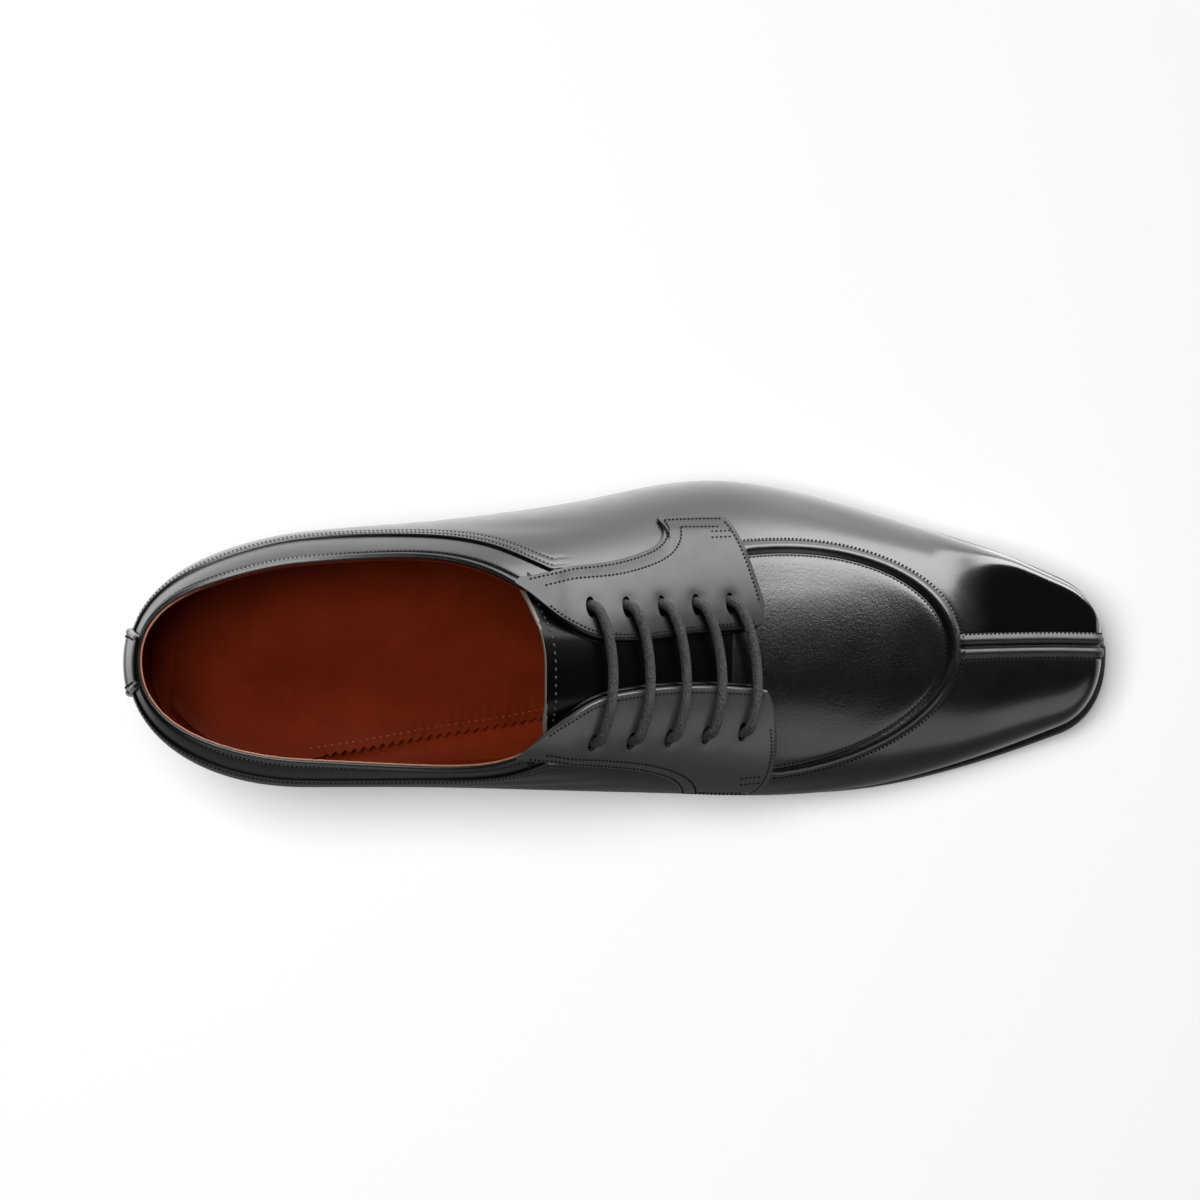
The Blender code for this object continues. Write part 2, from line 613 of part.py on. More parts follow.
def build_welt(leather):
    """Welt: a flat ring under the upper's edge."""
    outer, inner = outline(WELT_REACH, 0.0), outline(None, -WELT_INSET)
    low, high = SOLE_THICK + GAP, SOLE_THICK + GAP + WELT_THICK
    loops = [level(inner, low), level(outer, low), level(outline(WELT_REACH, WELT_BULGE), (low + high) / 2),
             level(outer, high), level(inner, high)]
    return tube_of_rows("welt", loops, leather)


def build_outsole(rubber):
    """Outsole: one layer from heel to toe with a rounded edge."""
    loops = [level(outline(WELT_REACH, reach), height) for reach, height in SOLE_PROFILE]
    return capped_loops("outsole", loops, rubber)


def build_insole(lining):
    """Insole with its filling, lying on the outsole inside the welt."""
    plan = outline(None, -INSOLE_INSET)
    top = FEATHER_RISE + INSOLE_RISE
    loops = [level(plan, SOLE_THICK + GAP), level(plan, top - INSOLE_BEVEL),
             level(outline(None, -INSOLE_INSET - INSOLE_BEVEL), top)]
    return capped_loops("insole", loops, lining)


def build_heel(rubber):
    """Heel block: its top follows the outsole, its foot is flat on the floor."""
    turns = np.linspace(0, math.pi / 2, HEEL_STEPS)
    x = np.concatenate([HEEL_RUN * (1 - np.cos(turns)), [(HEEL_RUN + HEEL_BREAST_X) / 2, HEEL_BREAST_X]])
    half = len(x)
    loops = []
    for inset, rise in HEEL_PROFILE:
        plan = outline(WELT_REACH, -inset, np.concatenate([x, [HEEL_BREAST_X + 2 * GAP]]))
        plan = np.concatenate([plan[:half], plan[half + 1:]])
        plan[:, 0] = np.minimum(plan[:, 0], HEEL_BREAST_X - HEEL_BREAST_SLANT * (1 - rise))
        top = sole_height(plan[:, 0]) - GAP
        loops.append(np.column_stack([plan, top * rise]))
    return capped_loops("heel", loops, rubber, flat_foot=True)


def build_lace_bar(index, waxed_cotton):
    """One bar of the lace: up out of an eyelet, over the throat and down into the opposite one."""
    rise = GAP + FACING_THICK
    turns = np.linspace(0, math.pi / 2, 4)
    bend = [(0.0, rise - LACE_SUNK)]
    bend += [(LACE_BEND * (1 - math.cos(t)), rise + LACE_BEND * math.sin(t)) for t in turns]
    outer, inner = EYELET_OFFSET[LATERAL], -EYELET_OFFSET[MEDIAL]
    span = outer - inner
    route = [(outer - d, lift) for d, lift in bend]
    route += [(outer + (inner - outer) * w, rise + LACE_BEND) for w in np.linspace(*LACE_SPAN, LACE_STEPS)]
    route += [(inner + d, lift) for d, lift in bend[::-1]]
    points = []
    for offset, lift in route:
        way = (outer - offset) / span
        x = eyelet_x(index, LATERAL) * (1 - way) + eyelet_x(index, MEDIAL) * way
        centre, normal = surface_frame(x + LACE_BOW * 4 * way * (1 - way), offset)
        points.append(centre + normal * lift)
    path = np.array(points)
    ahead = np.gradient(path, axis=0)
    ahead /= np.linalg.norm(ahead, axis=1, keepdims=True)
    side_on = np.cross(ahead, (1.0, 0.0, 0.0))
    side_on /= np.linalg.norm(side_on, axis=1, keepdims=True)
    other = np.cross(ahead, side_on)
    turns = np.linspace(0, 2 * math.pi, LACE_SIDES + 1)[:-1]
    rings = [centre + LACE_RADIUS * (np.outer(np.cos(turns), a) + np.outer(np.sin(turns), b))
             for centre, a, b in zip(path, side_on, other)]
    return capped_loops(f"lace_bar_{index + 1}", rings, waxed_cotton)


def clear_scene():
    for obj in list(bpy.data.objects):
        bpy.data.objects.remove(obj)


def main():
    clear_scene()
    shoe = bpy.data.objects.new("shoe", None)
    shoe.location = (-FRAME_X * MM, -FRAME_Y * MM, 0)
    bpy.context.scene.collection.objects.link(shoe)
    leather = material("black_calf", BLACK_LEATHER, 0.28)
    lining = material("tan_lining", LINING_LEATHER, 0.5)
    rubber = material("black_sole", SOLE_BLACK, 0.45)
    waxed_cotton = material("black_lace", LACE_BLACK, 0.7)
    build_upper(leather)
    for side in (LATERAL, MEDIAL):
        build_facing(side, leather)
    build_tongue(leather)
    build_back_strip(leather)
    build_welt(rubber)
    build_outsole(rubber)
    build_heel(rubber)
    build_insole(lining)
    for index in range(EYELETS):
        build_lace_bar(index, waxed_cotton)


main()
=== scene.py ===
import math

import bpy
import numpy as np
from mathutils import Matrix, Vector


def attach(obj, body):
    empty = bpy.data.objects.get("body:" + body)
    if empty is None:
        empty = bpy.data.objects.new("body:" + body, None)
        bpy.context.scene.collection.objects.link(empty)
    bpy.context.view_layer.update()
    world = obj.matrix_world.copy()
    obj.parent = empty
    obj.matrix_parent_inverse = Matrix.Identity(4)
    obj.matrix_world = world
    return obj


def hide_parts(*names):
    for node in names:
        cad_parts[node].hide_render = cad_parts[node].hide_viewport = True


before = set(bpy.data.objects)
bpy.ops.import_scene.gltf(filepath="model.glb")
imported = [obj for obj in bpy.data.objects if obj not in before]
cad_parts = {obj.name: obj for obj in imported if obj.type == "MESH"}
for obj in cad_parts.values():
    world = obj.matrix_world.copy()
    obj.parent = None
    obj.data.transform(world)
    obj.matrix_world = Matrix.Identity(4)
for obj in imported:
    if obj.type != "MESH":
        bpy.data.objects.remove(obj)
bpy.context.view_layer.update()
print("frame loaded,", len(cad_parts), "nodes")

mm = 0.001
lateral, medial = 1, -1
rng = np.random.default_rng(7)

# the last, in millimetres: x runs from heel to toe, y to the lateral side, z up from the floor
last = {
    "frameX": 149.85, "frameY": 5.25,
    "toeX": 298.2, "heelRun": 54.0, "heelSquare": 2.15,
    "toeRun": 13.5, "toeSquare": 2.6, "toeRoll": 5.0, "rollPower": 3.0,
    "wideShare": 0.25, "lean": 6.0, "leanRise": 36.0, "leanRun": 70.0,
    "featherRise": 7.9, "girth": 85.0,
    "toeFlat": (250.0, 282.0), "toeLead": 19.0, "toeRound": {lateral: 0.06, medial: 0.58},
    "probeX": 0.4, "probeShare": 0.004,
}


def table(columns, *rows):
    return dict(zip(columns, np.array(rows, float).T))


lastTable = table(
    ("x", "lateral", "medial", "centre", "wide", "ridge",
     "lateralRound", "medialRound", "lateralTuck", "medialTuck"),
    (0, 37.8, 37.8, -2.6, 56.0, 104.0, 0.80, 0.70, 3.0, 3.0),
    (30, 38.0, 37.6, -2.7, 55.0, 97.0, 0.85, 0.60, 3.5, 3.5),
    (60, 41.0, 37.4, -2.9, 52.0, 93.0, 0.88, 0.55, 5.0, 5.5),
    (90, 44.2, 36.9, -3.5, 48.0, 97.0, 0.84, 0.50, 8.0, 9.0),
    (115, 48.5, 36.3, -4.7, 45.0, 104.0, 1.04, 0.60, 10.0, 12.0),
    (140, 53.2, 36.8, -5.0, 40.0, 97.0, 1.00, 0.86, 10.0, 12.0),
    (165, 57.4, 38.8, -3.8, 32.0, 81.0, 0.98, 0.90, 6.5, 7.0),
    (190, 55.9, 41.2, -2.1, 26.0, 66.0, 0.95, 0.90, 3.0, 3.0),
    (210, 50.6, 42.0, -0.5, 22.0, 56.5, 0.90, 0.86, 2.2, 2.0),
    (230, 43.3, 40.7, 1.0, 20.0, 49.8, 0.82, 0.80, 1.6, 1.4),
    (250, 35.6, 36.8, 2.3, 20.0, 44.6, 0.74, 0.72, 1.0, 0.8),
    (270, 27.6, 30.8, 3.0, 21.0, 40.4, 0.60, 0.56, 0.6, 0.4),
    (285, 20.6, 25.2, 3.2, 22.5, 37.2, 0.40, 0.48, 0.4, 0.2),
    (298, 14.8, 20.0, 3.0, 24.0, 34.0, 0.30, 0.44, 0.3, 0.2),
)
soleLine = table(
    ("x", "z"), (0, 25.0), (40, 24.2), (75, 21.6), (105, 15.6), (135, 8.2), (160, 2.6), (182, 0.0),
    (198, 0.0), (214, 0.0), (240, 1.6), (270, 6.0), (300, 12.0),
)
weltReach = table(
    ("x", "lateral", "medial"),
    (0, 1.4, 1.4), (60, 1.2, 1.0), (125, 0.8, 0.6), (190, 1.6, 1.8), (230, 1.8, 2.2), (300, 1.8, 2.6),
)
topLine = table(
    ("x", "lateral", "medial", "drop"),
    (0, 91.0, 91.0, 13.0), (25, 86.5, 87.5, 12.0), (50, 81.0, 82.5, 12.5), (75, 80.5, 80.0, 11.5),
    (95, 85.0, 81.5, 10.0), (110, 91.6, 86.0, 9.0), (122, 96.6, 91.5, 7.6), (135, 98.0, 95.0, 5.4),
)


def slopesOf(xs, ys):
    # slopes of the smoothest curve through the points
    run, rise = np.diff(xs), np.diff(ys) / np.diff(xs)
    rows = np.eye(len(xs))
    right = np.concatenate([rise[:1], 3 * (run[1:] * rise[:-1] + run[:-1] * rise[1:]), rise[-1:]])
    for i in range(1, len(xs) - 1):
        rows[i, i - 1:i + 2] = run[i], 2 * (run[i - 1] + run[i]), run[i - 1]
    return np.linalg.solve(rows, right)


def curveAt(xs, ys, x):
    slopes = slopesOf(xs, ys)
    x = np.asarray(x, float)
    i = np.clip(np.searchsorted(xs, x) - 1, 0, len(xs) - 2)
    run = xs[i + 1] - xs[i]
    t = np.clip((x - xs[i]) / run, 0, 1)
    start = ys[i] * (1 + 2 * t) * (1 - t) ** 2 + slopes[i] * run * t * (1 - t) ** 2
    return start + ys[i + 1] * t * t * (3 - 2 * t) + slopes[i + 1] * run * t * t * (t - 1)


def read(rows, column, x):
    return curveAt(rows["x"], rows[column], x)


def ease(low, high, x):
    t = np.clip((np.asarray(x, float) - low) / (high - low), 0, 1)
    return t * t * (3 - 2 * t)


def runOf(points):
    # the distance along a row of points
    return np.concatenate([[0], np.cumsum(np.linalg.norm(np.diff(points, axis=0), axis=1))])


def resample(points, count):
    run = runOf(points)
    at = np.linspace(0, run[-1], count)
    return np.stack([np.interp(at, run, column) for column in points.T], -1)


def unit(vectors):
    return vectors / np.linalg.norm(vectors, axis=-1, keepdims=True)


def raised(points, normals, height):
    return points + normals * np.asarray(height)[..., None]


def sideName(side):
    return "lateral" if side == lateral else "medial"


def halfWidth(x, side):
    x = np.asarray(x, float)
    heel = np.clip(1 - x / last["heelRun"], 0, 1)
    toe = np.clip((x - last["toeX"] + last["toeRun"]) / last["toeRun"], 0, 1)
    back = (1 - heel ** last["heelSquare"]) ** (1 / last["heelSquare"])
    front = (1 - toe ** last["toeSquare"]) ** (1 / last["toeSquare"])
    return read(lastTable, sideName(side), x) * back * front


def soleHeight(x):
    return np.maximum(read(soleLine, "z", np.clip(x, 0, 300)), 0)


def ridgeHeight(x):
    roll = np.clip((np.asarray(x, float) - last["toeX"] + last["toeRoll"]) / last["toeRoll"], 0, 1)
    wide = read(lastTable, "wide", x)
    down = (1 - roll ** last["rollPower"]) ** (1 / last["rollPower"])
    return wide + (read(lastTable, "ridge", x) - wide) * down


def roundAt(x, side, ratio=0.5):
    # how boxy the section is; the flat of the toe starts earlier near its rim
    flat = ease(*last["toeFlat"], x + last["toeLead"] * (ratio - 0.5))
    return read(lastTable, sideName(side) + "Round", x) ** (1 - flat) * last["toeRound"][side] ** flat


def lastPoint(x, share, side, offset=None):
    # share 0 is the feather edge, wideShare the widest height, 1 the ridge
    # an offset from the centre line places a point by its plan instead
    x, share = np.broadcast_arrays(np.asarray(x, float), np.asarray(share, float))
    turn = np.clip((share - last["wideShare"]) / (1 - last["wideShare"]), 0, 1) * math.pi / 2
    below = np.clip(1 - share / last["wideShare"], 0, 1)
    wide = read(lastTable, "wide", x)
    half = halfWidth(x, side)
    rise, spread = np.sin(turn), half * np.cos(turn) ** roundAt(x, side)
    if offset is not None:
        spread = np.minimum(offset, half)
        ratio = spread / np.maximum(half, 1e-6)
        rise = np.sqrt(np.clip(1 - ratio ** (2 / roundAt(x, side, ratio)), 0, 1))
    z = wide + (ridgeHeight(x) - wide) * rise - (wide - soleHeight(x) - last["featherRise"]) * below
    tuck = read(lastTable, sideName(side) + "Tuck", x) * below ** 2
    y = read(lastTable, "centre", x) + side * (spread - tuck * half / read(lastTable, sideName(side), x))
    nearBack = np.clip(1 - x / last["leanRun"], 0, 1) ** 2
    lean = last["lean"] * (np.clip(z - wide, 0, None) / last["leanRise"]) ** 2
    nearToe = np.clip((x - last["toeX"] + last["toeRun"]) / last["toeRun"], 0, 1) ** 2
    return np.stack([x + nearBack * (lean + tuck) - nearToe * tuck, y, z], -1)


def shareAtOffset(x, offset, side):
    ratio = np.clip(np.asarray(offset, float) / np.maximum(halfWidth(x, side), 1e-6), 0, 1)
    turn = np.arccos(ratio ** (1 / roundAt(x, side)))
    return last["wideShare"] + (1 - last["wideShare"]) * turn * 2 / math.pi


def shareAtHeight(x, z):
    wide = read(lastTable, "wide", x)
    turn = np.arcsin(np.clip((z - wide) / (ridgeHeight(x) - wide), 0, 1))
    return last["wideShare"] + (1 - last["wideShare"]) * turn * 2 / math.pi


def skinFrame(x, share, side):
    # point of the last and its outward normal
    stepX, stepShare = last["probeX"], last["probeShare"]
    along = lastPoint(x + stepX, share, side) - lastPoint(x - stepX, share, side)
    up = lastPoint(x, share + stepShare, side) - lastPoint(x, share - stepShare, side)
    return lastPoint(x, share, side), unit(-side * np.cross(along, up))


def planFrame(x, offset):
    # the same by plan position, offset positive to the lateral side
    x, offset = np.broadcast_arrays(np.asarray(x, float), np.asarray(offset, float))
    sides = [skinFrame(x, shareAtOffset(x, np.abs(offset), side), side) for side in (lateral, medial)]
    pick = (offset >= 0)[..., None]
    return np.where(pick, sides[0][0], sides[1][0]), np.where(pick, sides[0][1], sides[1][1])


def gridNormals(points, closed):
    up = np.gradient(points, axis=0)
    along = np.roll(points, -1, 1) - np.roll(points, 1, 1) if closed else np.gradient(points, axis=1)
    normal = np.cross(along, up)
    return normal / np.maximum(np.linalg.norm(normal, axis=-1, keepdims=True), 1e-9)


def toRow(points):
    return (np.asarray(points) - (last["frameX"], last["frameY"], 0)) * mm


def gridPiece(name, points, closedUp=False, closedAround=False, values=None,
              finishes=None, finishRows=None, sharp=40):
    # a primitive grid, one vertex for each point, wrapped onto the points and welded
    values = values or {}
    if closedUp:
        points = np.concatenate([points, points[:1]])
        values = {key: np.concatenate([v, v[:1]]) for key, v in values.items()}
    if closedAround:
        points = np.concatenate([points, points[:, :1]], axis=1)
        values = {key: np.concatenate([v, v[:, :1]], axis=1) for key, v in values.items()}
    rows, columns = points.shape[:2]
    bpy.ops.object.select_all(action="DESELECT")
    bpy.ops.mesh.primitive_grid_add(x_subdivisions=columns - 1, y_subdivisions=rows - 1, size=1)
    piece = bpy.context.object
    piece.name = piece.data.name = name
    mesh = piece.data
    mesh.vertices.foreach_set("co", toRow(points).ravel())
    for key, value in values.items():
        layer = mesh.attributes.new(key, "FLOAT", "POINT")
        layer.data.foreach_set("value", np.ascontiguousarray(value, float).ravel())
    for finish in finishes or []:
        mesh.materials.append(finish)
    if finishRows is not None:
        mesh.polygons.foreach_set("material_index", np.repeat(np.asarray(finishRows, np.int32), columns - 1))
    bpy.ops.object.mode_set(mode="EDIT")
    bpy.ops.mesh.select_all(action="SELECT")
    bpy.ops.mesh.remove_doubles(threshold=2e-7)
    bpy.ops.mesh.normals_make_consistent(inside=False)
    bpy.ops.object.mode_set(mode="OBJECT")
    bpy.ops.object.shade_smooth_by_angle(angle=math.radians(sharp))
    return piece


def sheetPiece(name, low, high, finishes, lowFinish=0, rimFinish=0, values=None, sharp=40):
    # a closed sheet between two grids of points, its ends drawn together
    rows = len(low)
    loop = np.concatenate([high, low[::-1]])
    middle = (low + high) / 2
    ends = [np.concatenate([middle[:, k], middle[::-1, k]])[:, None] for k in (0, -1)]
    loop = np.concatenate([ends[0], loop, ends[1]], axis=1)
    values = {key: np.concatenate([v, v[::-1]]) for key, v in (values or {}).items()}
    values = {key: np.concatenate([v[:, :1], v, v[:, -1:]], axis=1) for key, v in values.items()}
    finishRows = [0] * (rows - 1) + [rimFinish] + [lowFinish] * (rows - 1) + [rimFinish]
    return gridPiece(name, loop, True, False, values, finishes, finishRows, sharp)


def place(piece, slot, *nodes):
    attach(piece, "root")
    if nodes:
        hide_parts(*nodes)
    print("made", piece.name, len(piece.data.polygons), "faces")


# finishes
def newFinish(name, color, roughness):
    made = bpy.data.materials.new(name)
    made.use_nodes = True
    shader = made.node_tree.nodes["Principled BSDF"]
    shader.inputs["Base Color"].default_value = (*color, 1)
    shader.inputs["Roughness"].default_value = roughness
    return made, made.node_tree, shader


def addNode(tree, kind, sockets=None, **settings):
    node = tree.nodes.new(kind)
    for key, value in settings.items():
        setattr(node, key, value)
    for key, value in (sockets or {}).items():
        if isinstance(value, bpy.types.NodeSocket):
            tree.links.new(value, node.inputs[key])
        else:
            node.inputs[key].default_value = value
    return node


def mathNode(tree, operation, a, b):
    return addNode(tree, "ShaderNodeMath", {0: a, 1: b}, operation=operation).outputs[0]


def colorMix(tree, factor, a, b):
    node = addNode(tree, "ShaderNodeMix", data_type="RGBA")
    tree.links.new(factor, node.inputs[0])
    node.inputs[6].default_value = (*a, 1)
    node.inputs[7].default_value = (*b, 1)
    return node.outputs[2]


def noiseOf(tree, coords, scale, detail=3.0, roughness=0.5):
    sockets = {"Vector": coords, "Scale": scale, "Detail": detail, "Roughness": roughness}
    return addNode(tree, "ShaderNodeTexNoise", sockets).outputs["Fac"]


def poresOf(tree, coords, scale):
    return addNode(tree, "ShaderNodeTexVoronoi", {"Vector": coords, "Scale": scale}).outputs["Distance"]


def attributeOf(tree, name):
    return addNode(tree, "ShaderNodeAttribute", attribute_name=name).outputs["Fac"]


def coordsOf(tree, kind="Object"):
    return addNode(tree, "ShaderNodeTexCoord").outputs[kind]


def span(tree, value, low, high, fromLow=0.0, fromHigh=1.0):
    sockets = {"Value": value, "From Min": fromLow, "From Max": fromHigh, "To Min": low, "To Max": high}
    return addNode(tree, "ShaderNodeMapRange", sockets).outputs[0]


def feed(tree, shader, socket, source):
    tree.links.new(source, shader.inputs[socket])


def feedBump(tree, shader, height, strength, depth):
    sockets = {"Height": height, "Strength": strength, "Distance": depth}
    feed(tree, shader, "Normal", addNode(tree, "ShaderNodeBump", sockets).outputs["Normal"])


def setSpecular(finish, level):
    finish.node_tree.nodes["Principled BSDF"].inputs["Specular IOR Level"].default_value = level


calfLook = {
    "dark": (0.0005, 0.0005, 0.0005), "light": (0.0013, 0.00125, 0.0012), "cloudScale": 45.0,
    "dull": 0.46, "polished": 0.13, "smearScale": 160.0, "smear": (0.82, 1.18), "coatRoughness": 0.2,
    "poreScale": 2400.0, "poreShare": 0.6, "pebbleScale": 950.0, "livelier": 0.55, "depth": 0.00013,
}


def calfFinish(name, dull, grain, coat=None, paintedLight=0.0):
    # satin black calf; the attributes polish, grain and shine wax the toe and liven the apron
    # both tones of the base colour are lifted by the given amount: painted light that brightens a copy of the
    # calf
    dark, light = (tuple(c + paintedLight for c in calfLook[tone]) for tone in ("dark", "light"))
    made, tree, shader = newFinish(name, dark, dull)
    coords = coordsOf(tree)
    cloud = noiseOf(tree, coords, calfLook["cloudScale"], 4.0)
    feed(tree, shader, "Base Color", colorMix(tree, cloud, dark, light))
    smear = span(tree, noiseOf(tree, coords, calfLook["smearScale"]), *calfLook["smear"])
    base = span(tree, attributeOf(tree, "polish"), dull, calfLook["polished"])
    feed(tree, shader, "Roughness", mathNode(tree, "MULTIPLY", base, smear))
    pores = mathNode(tree, "MULTIPLY", poresOf(tree, coords, calfLook["poreScale"]), calfLook["poreShare"])
    height = mathNode(tree, "ADD", pores, noiseOf(tree, coords, calfLook["pebbleScale"], 2.0))
    lively = mathNode(tree, "MULTIPLY", attributeOf(tree, "grain"), calfLook["livelier"])
    feedBump(tree, shader, height, mathNode(tree, "ADD", lively, grain), calfLook["depth"])
    if coat is None:
        feed(tree, shader, "Coat Weight", attributeOf(tree, "shine"))
    else:
        shader.inputs["Coat Weight"].default_value = coat
    shader.inputs["Coat Roughness"].default_value = calfLook["coatRoughness"]
    return made


liningLook = {
    "dark": (0.095, 0.0112, 0.0032), "light": (0.14, 0.0174, 0.0048), "cloudScale": 38.0, "cloud": (0.3, 0.7),
    "roughness": 0.55, "specular": 0.04, "poreScale": 1500.0, "toothScale": 420.0,
    "bump": 0.3, "depth": 0.00008,
}


def liningFinish(name, shade=1.0):
    made, tree, shader = newFinish(name, liningLook["light"], liningLook["roughness"])
    coords = coordsOf(tree)
    cloud = span(tree, noiseOf(tree, coords, liningLook["cloudScale"], 5.0, 0.6), 0, 1, *liningLook["cloud"])
    dark, light = (tuple(c * shade for c in liningLook[tone]) for tone in ("dark", "light"))
    feed(tree, shader, "Base Color", colorMix(tree, cloud, dark, light))
    tooth = noiseOf(tree, coords, liningLook["toothScale"])
    height = mathNode(tree, "ADD", poresOf(tree, coords, liningLook["poreScale"]), tooth)
    feedBump(tree, shader, height, liningLook["bump"], liningLook["depth"])
    setSpecular(made, liningLook["specular"])
    return made


def plainFinish(name, dark, light, roughness, scale, depth, vary=0.08):
    # sole edge, thread and raw leather: mottled colour over a fine tooth
    made, tree, shader = newFinish(name, dark, roughness)
    fleck = noiseOf(tree, coordsOf(tree), scale, 4.0, 0.6)
    feed(tree, shader, "Base Color", colorMix(tree, fleck, dark, light))
    feed(tree, shader, "Roughness", span(tree, fleck, roughness - vary, roughness + vary))
    feedBump(tree, shader, fleck, 0.4, depth)
    return made


calf = calfFinish("blackCalf", calfLook["dull"], 0.16)
plainCalf = calfFinish("plainCalf", 0.29, 0.16, 0.2)
facingCalf = {
    lateral: calfFinish("facingCalf", 0.41, 0.16, 0.1),
    # the medial facing's base colour is lifted by 0.02: painted light, brightening that side's copy of the
    # calf as if it caught more light
    medial: calfFinish("facingCalfMedial", 0.4, 0.16, 0.22, paintedLight=0.02),
}
tongueCalf = calfFinish("tongueCalf", 0.3, 0.12, 0.0)
lining = liningFinish("rustLining")
# the sock is tinted darker than the insole's lining; the tint is partly painted shade, standing for the
# brighter light on the insole's strip beside its pinked edge
sockLeather = liningFinish("rustSock", 0.78)
# the sock's cut edges are painted nearly black: a painted shadow line along its pinked edge
sockEdgeShade = liningFinish("rustSockEdgeShade", 0.12)
rawEdge = plainFinish("rawLeatherEdge", (0.10, 0.035, 0.018), (0.24, 0.11, 0.065), 0.7, 900.0, 0.00008)
tongueEdge = plainFinish("tongueEdge", (0.05, 0.046, 0.042), (0.11, 0.10, 0.09), 0.6, 900.0, 0.00006)
thread = plainFinish("blackThread", (0.002, 0.002, 0.002), (0.006, 0.006, 0.006), 0.7, 3000.0, 0.00004)
rustThread = plainFinish("rustThread", (0.10, 0.03, 0.012), (0.2, 0.07, 0.03), 0.6, 3000.0, 0.00004)
soleEdge = plainFinish("blackSoleEdge", (0.006, 0.006, 0.006), (0.016, 0.015, 0.014), 0.38, 700.0, 0.00009)
soleUnder = plainFinish("blackSoleUnder", (0.012, 0.011, 0.011), (0.03, 0.028, 0.026), 0.6, 500.0, 0.00012)
for finish, level in ((facingCalf[lateral], 0.42), (tongueCalf, 0.1), (thread, 0.12)):
    setSpecular(finish, level)
print("finishes ready")

# stitches: one shaped stitch, copied along rows
stitchSizes = {
    "pitch": 1.3, "length": 0.88, "width": 0.62, "height": 0.50, "seat": 0.1,
    "slant": 8.0, "wander": 3.0, "vary": 0.04,
}
stitchShape = {}


def stitchMesh():
    if not stitchShape:
        bpy.ops.object.select_all(action="DESELECT")
        bpy.ops.mesh.primitive_uv_sphere_add(segments=6, ring_count=5, radius=0.5)
        seed = bpy.context.object
        bpy.ops.object.mode_set(mode="EDIT")
        bpy.ops.mesh.select_all(action="SELECT")
        bpy.ops.transform.rotate(value=math.pi / 2, orient_axis="Y", center_override=(0, 0, 0))
        bpy.ops.object.mode_set(mode="OBJECT")
        stitchShape["points"] = np.array([v.co[:] for v in seed.data.vertices])
        stitchShape["faces"] = [list(p.vertices) for p in seed.data.polygons]
        bpy.data.objects.remove(seed)
    return stitchShape["points"], stitchShape["faces"]


def evenly(path, normals, step, margin=0.5):
    # points along a path, a whole step apart, with the way ahead and the normal at each
    run = runOf(path)
    count = max(int((run[-1] - margin) / step), 1)
    at = margin / 2 + (np.arange(count) + 0.5) * (run[-1] - margin) / count

    def pick(rows, s):
        return np.stack([np.interp(s, run, rows[:, k]) for k in range(3)], -1)

    ahead = unit(pick(path, at + 0.4) - pick(path, at - 0.4))
    normal = pick(normals, at)
    return pick(path, at), ahead, unit(normal - ahead * (normal * ahead).sum(1, keepdims=True))


def stitchPiece(name, rows, slot="black_calf", finish=None, pitch=None, scale=1.0):
    base, faces = stitchMesh()
    points, allFaces = [], []
    for path, normals in rows:
        centre, ahead, normal = evenly(path, normals, pitch or stitchSizes["pitch"])
        aside = np.cross(normal, ahead)
        for c, t, n, b in zip(centre, ahead, normal, aside):
            lean = math.radians(stitchSizes["slant"] + rng.normal(0, stitchSizes["wander"]))
            t, b = t * math.cos(lean) + b * math.sin(lean), b * math.cos(lean) - t * math.sin(lean)
            size = np.array([stitchSizes["length"], stitchSizes["width"], stitchSizes["height"]]) * scale
            size = size * (1 + rng.normal(0, stitchSizes["vary"], 3))
            start = len(points) * len(base)
            points.append(c + n * stitchSizes["seat"] + (base * size) @ np.stack([t, b, n]))
            allFaces += [[start + i for i in face] for face in faces]
    mesh = bpy.data.meshes.new(name)
    mesh.from_pydata(toRow(np.concatenate(points)).tolist(), [], allFaces)
    mesh.materials.append(finish or thread)
    mesh.shade_smooth()
    piece = bpy.data.objects.new(name, mesh)
    bpy.context.scene.collection.objects.link(piece)
    place(piece, slot)


# upper: one wrapped shell with its bead, toe seam and collar step
upperSizes = {
    "leather": 1.7, "lining": 0.65, "liningGap": 0.05, "sink": 0.8, "sinkEnd": (129.0, 135.0),
    "slotHalf": 26.0, "throatX": 182.5, "collarEnd": 117.0, "slotStart": 131.0, "bandToApron": (129.0, 170.0),
    "apronX": 192.0, "apronLength": 59.0, "apronHalf": 34.5, "apronFrom": 176.0, "leastBand": 0.04,
    "beadStart": {lateral: (180.5, 188.0), medial: (190.0, 197.0)},
    "heelColumns": 40, "rearColumns": 90, "fanColumns": 110, "seamColumns": 27, "seamReach": 5.2,
    "lowRows": 8, "sideRows": 30, "plugRows": 28, "beadRows": 22, "tipRows": 14,
    "outerRow": -2.75, "innerRow": 3.15, "apronRowLead": 3.0, "lipRow": 3.75,
    "bandRows": (-1.4, -3.4), "bandRowEnd": {lateral: 130.0, medial: 122.0},
    "collarRow": 2.8, "collarRowEnd": 121.0, "rowStart": 2.2,
}
beadProfile = table(  # across the apron seam, from the side panel over the bead into the apron
    ("x", "z"), (-6, 0), (-4, 0.0), (-3.3, -0.05), (-2.75, -0.28), (-2.2, 0.05), (-1.3, 0.72), (-0.3, 1.18),
    (0.7, 1.12), (1.5, 0.6), (2.05, 0.0), (2.45, -0.3), (2.85, -0.15), (3.4, 0.05), (4.2, 0.16), (5.5, 0.2),
    (8, 0.12), (12, 0),
)
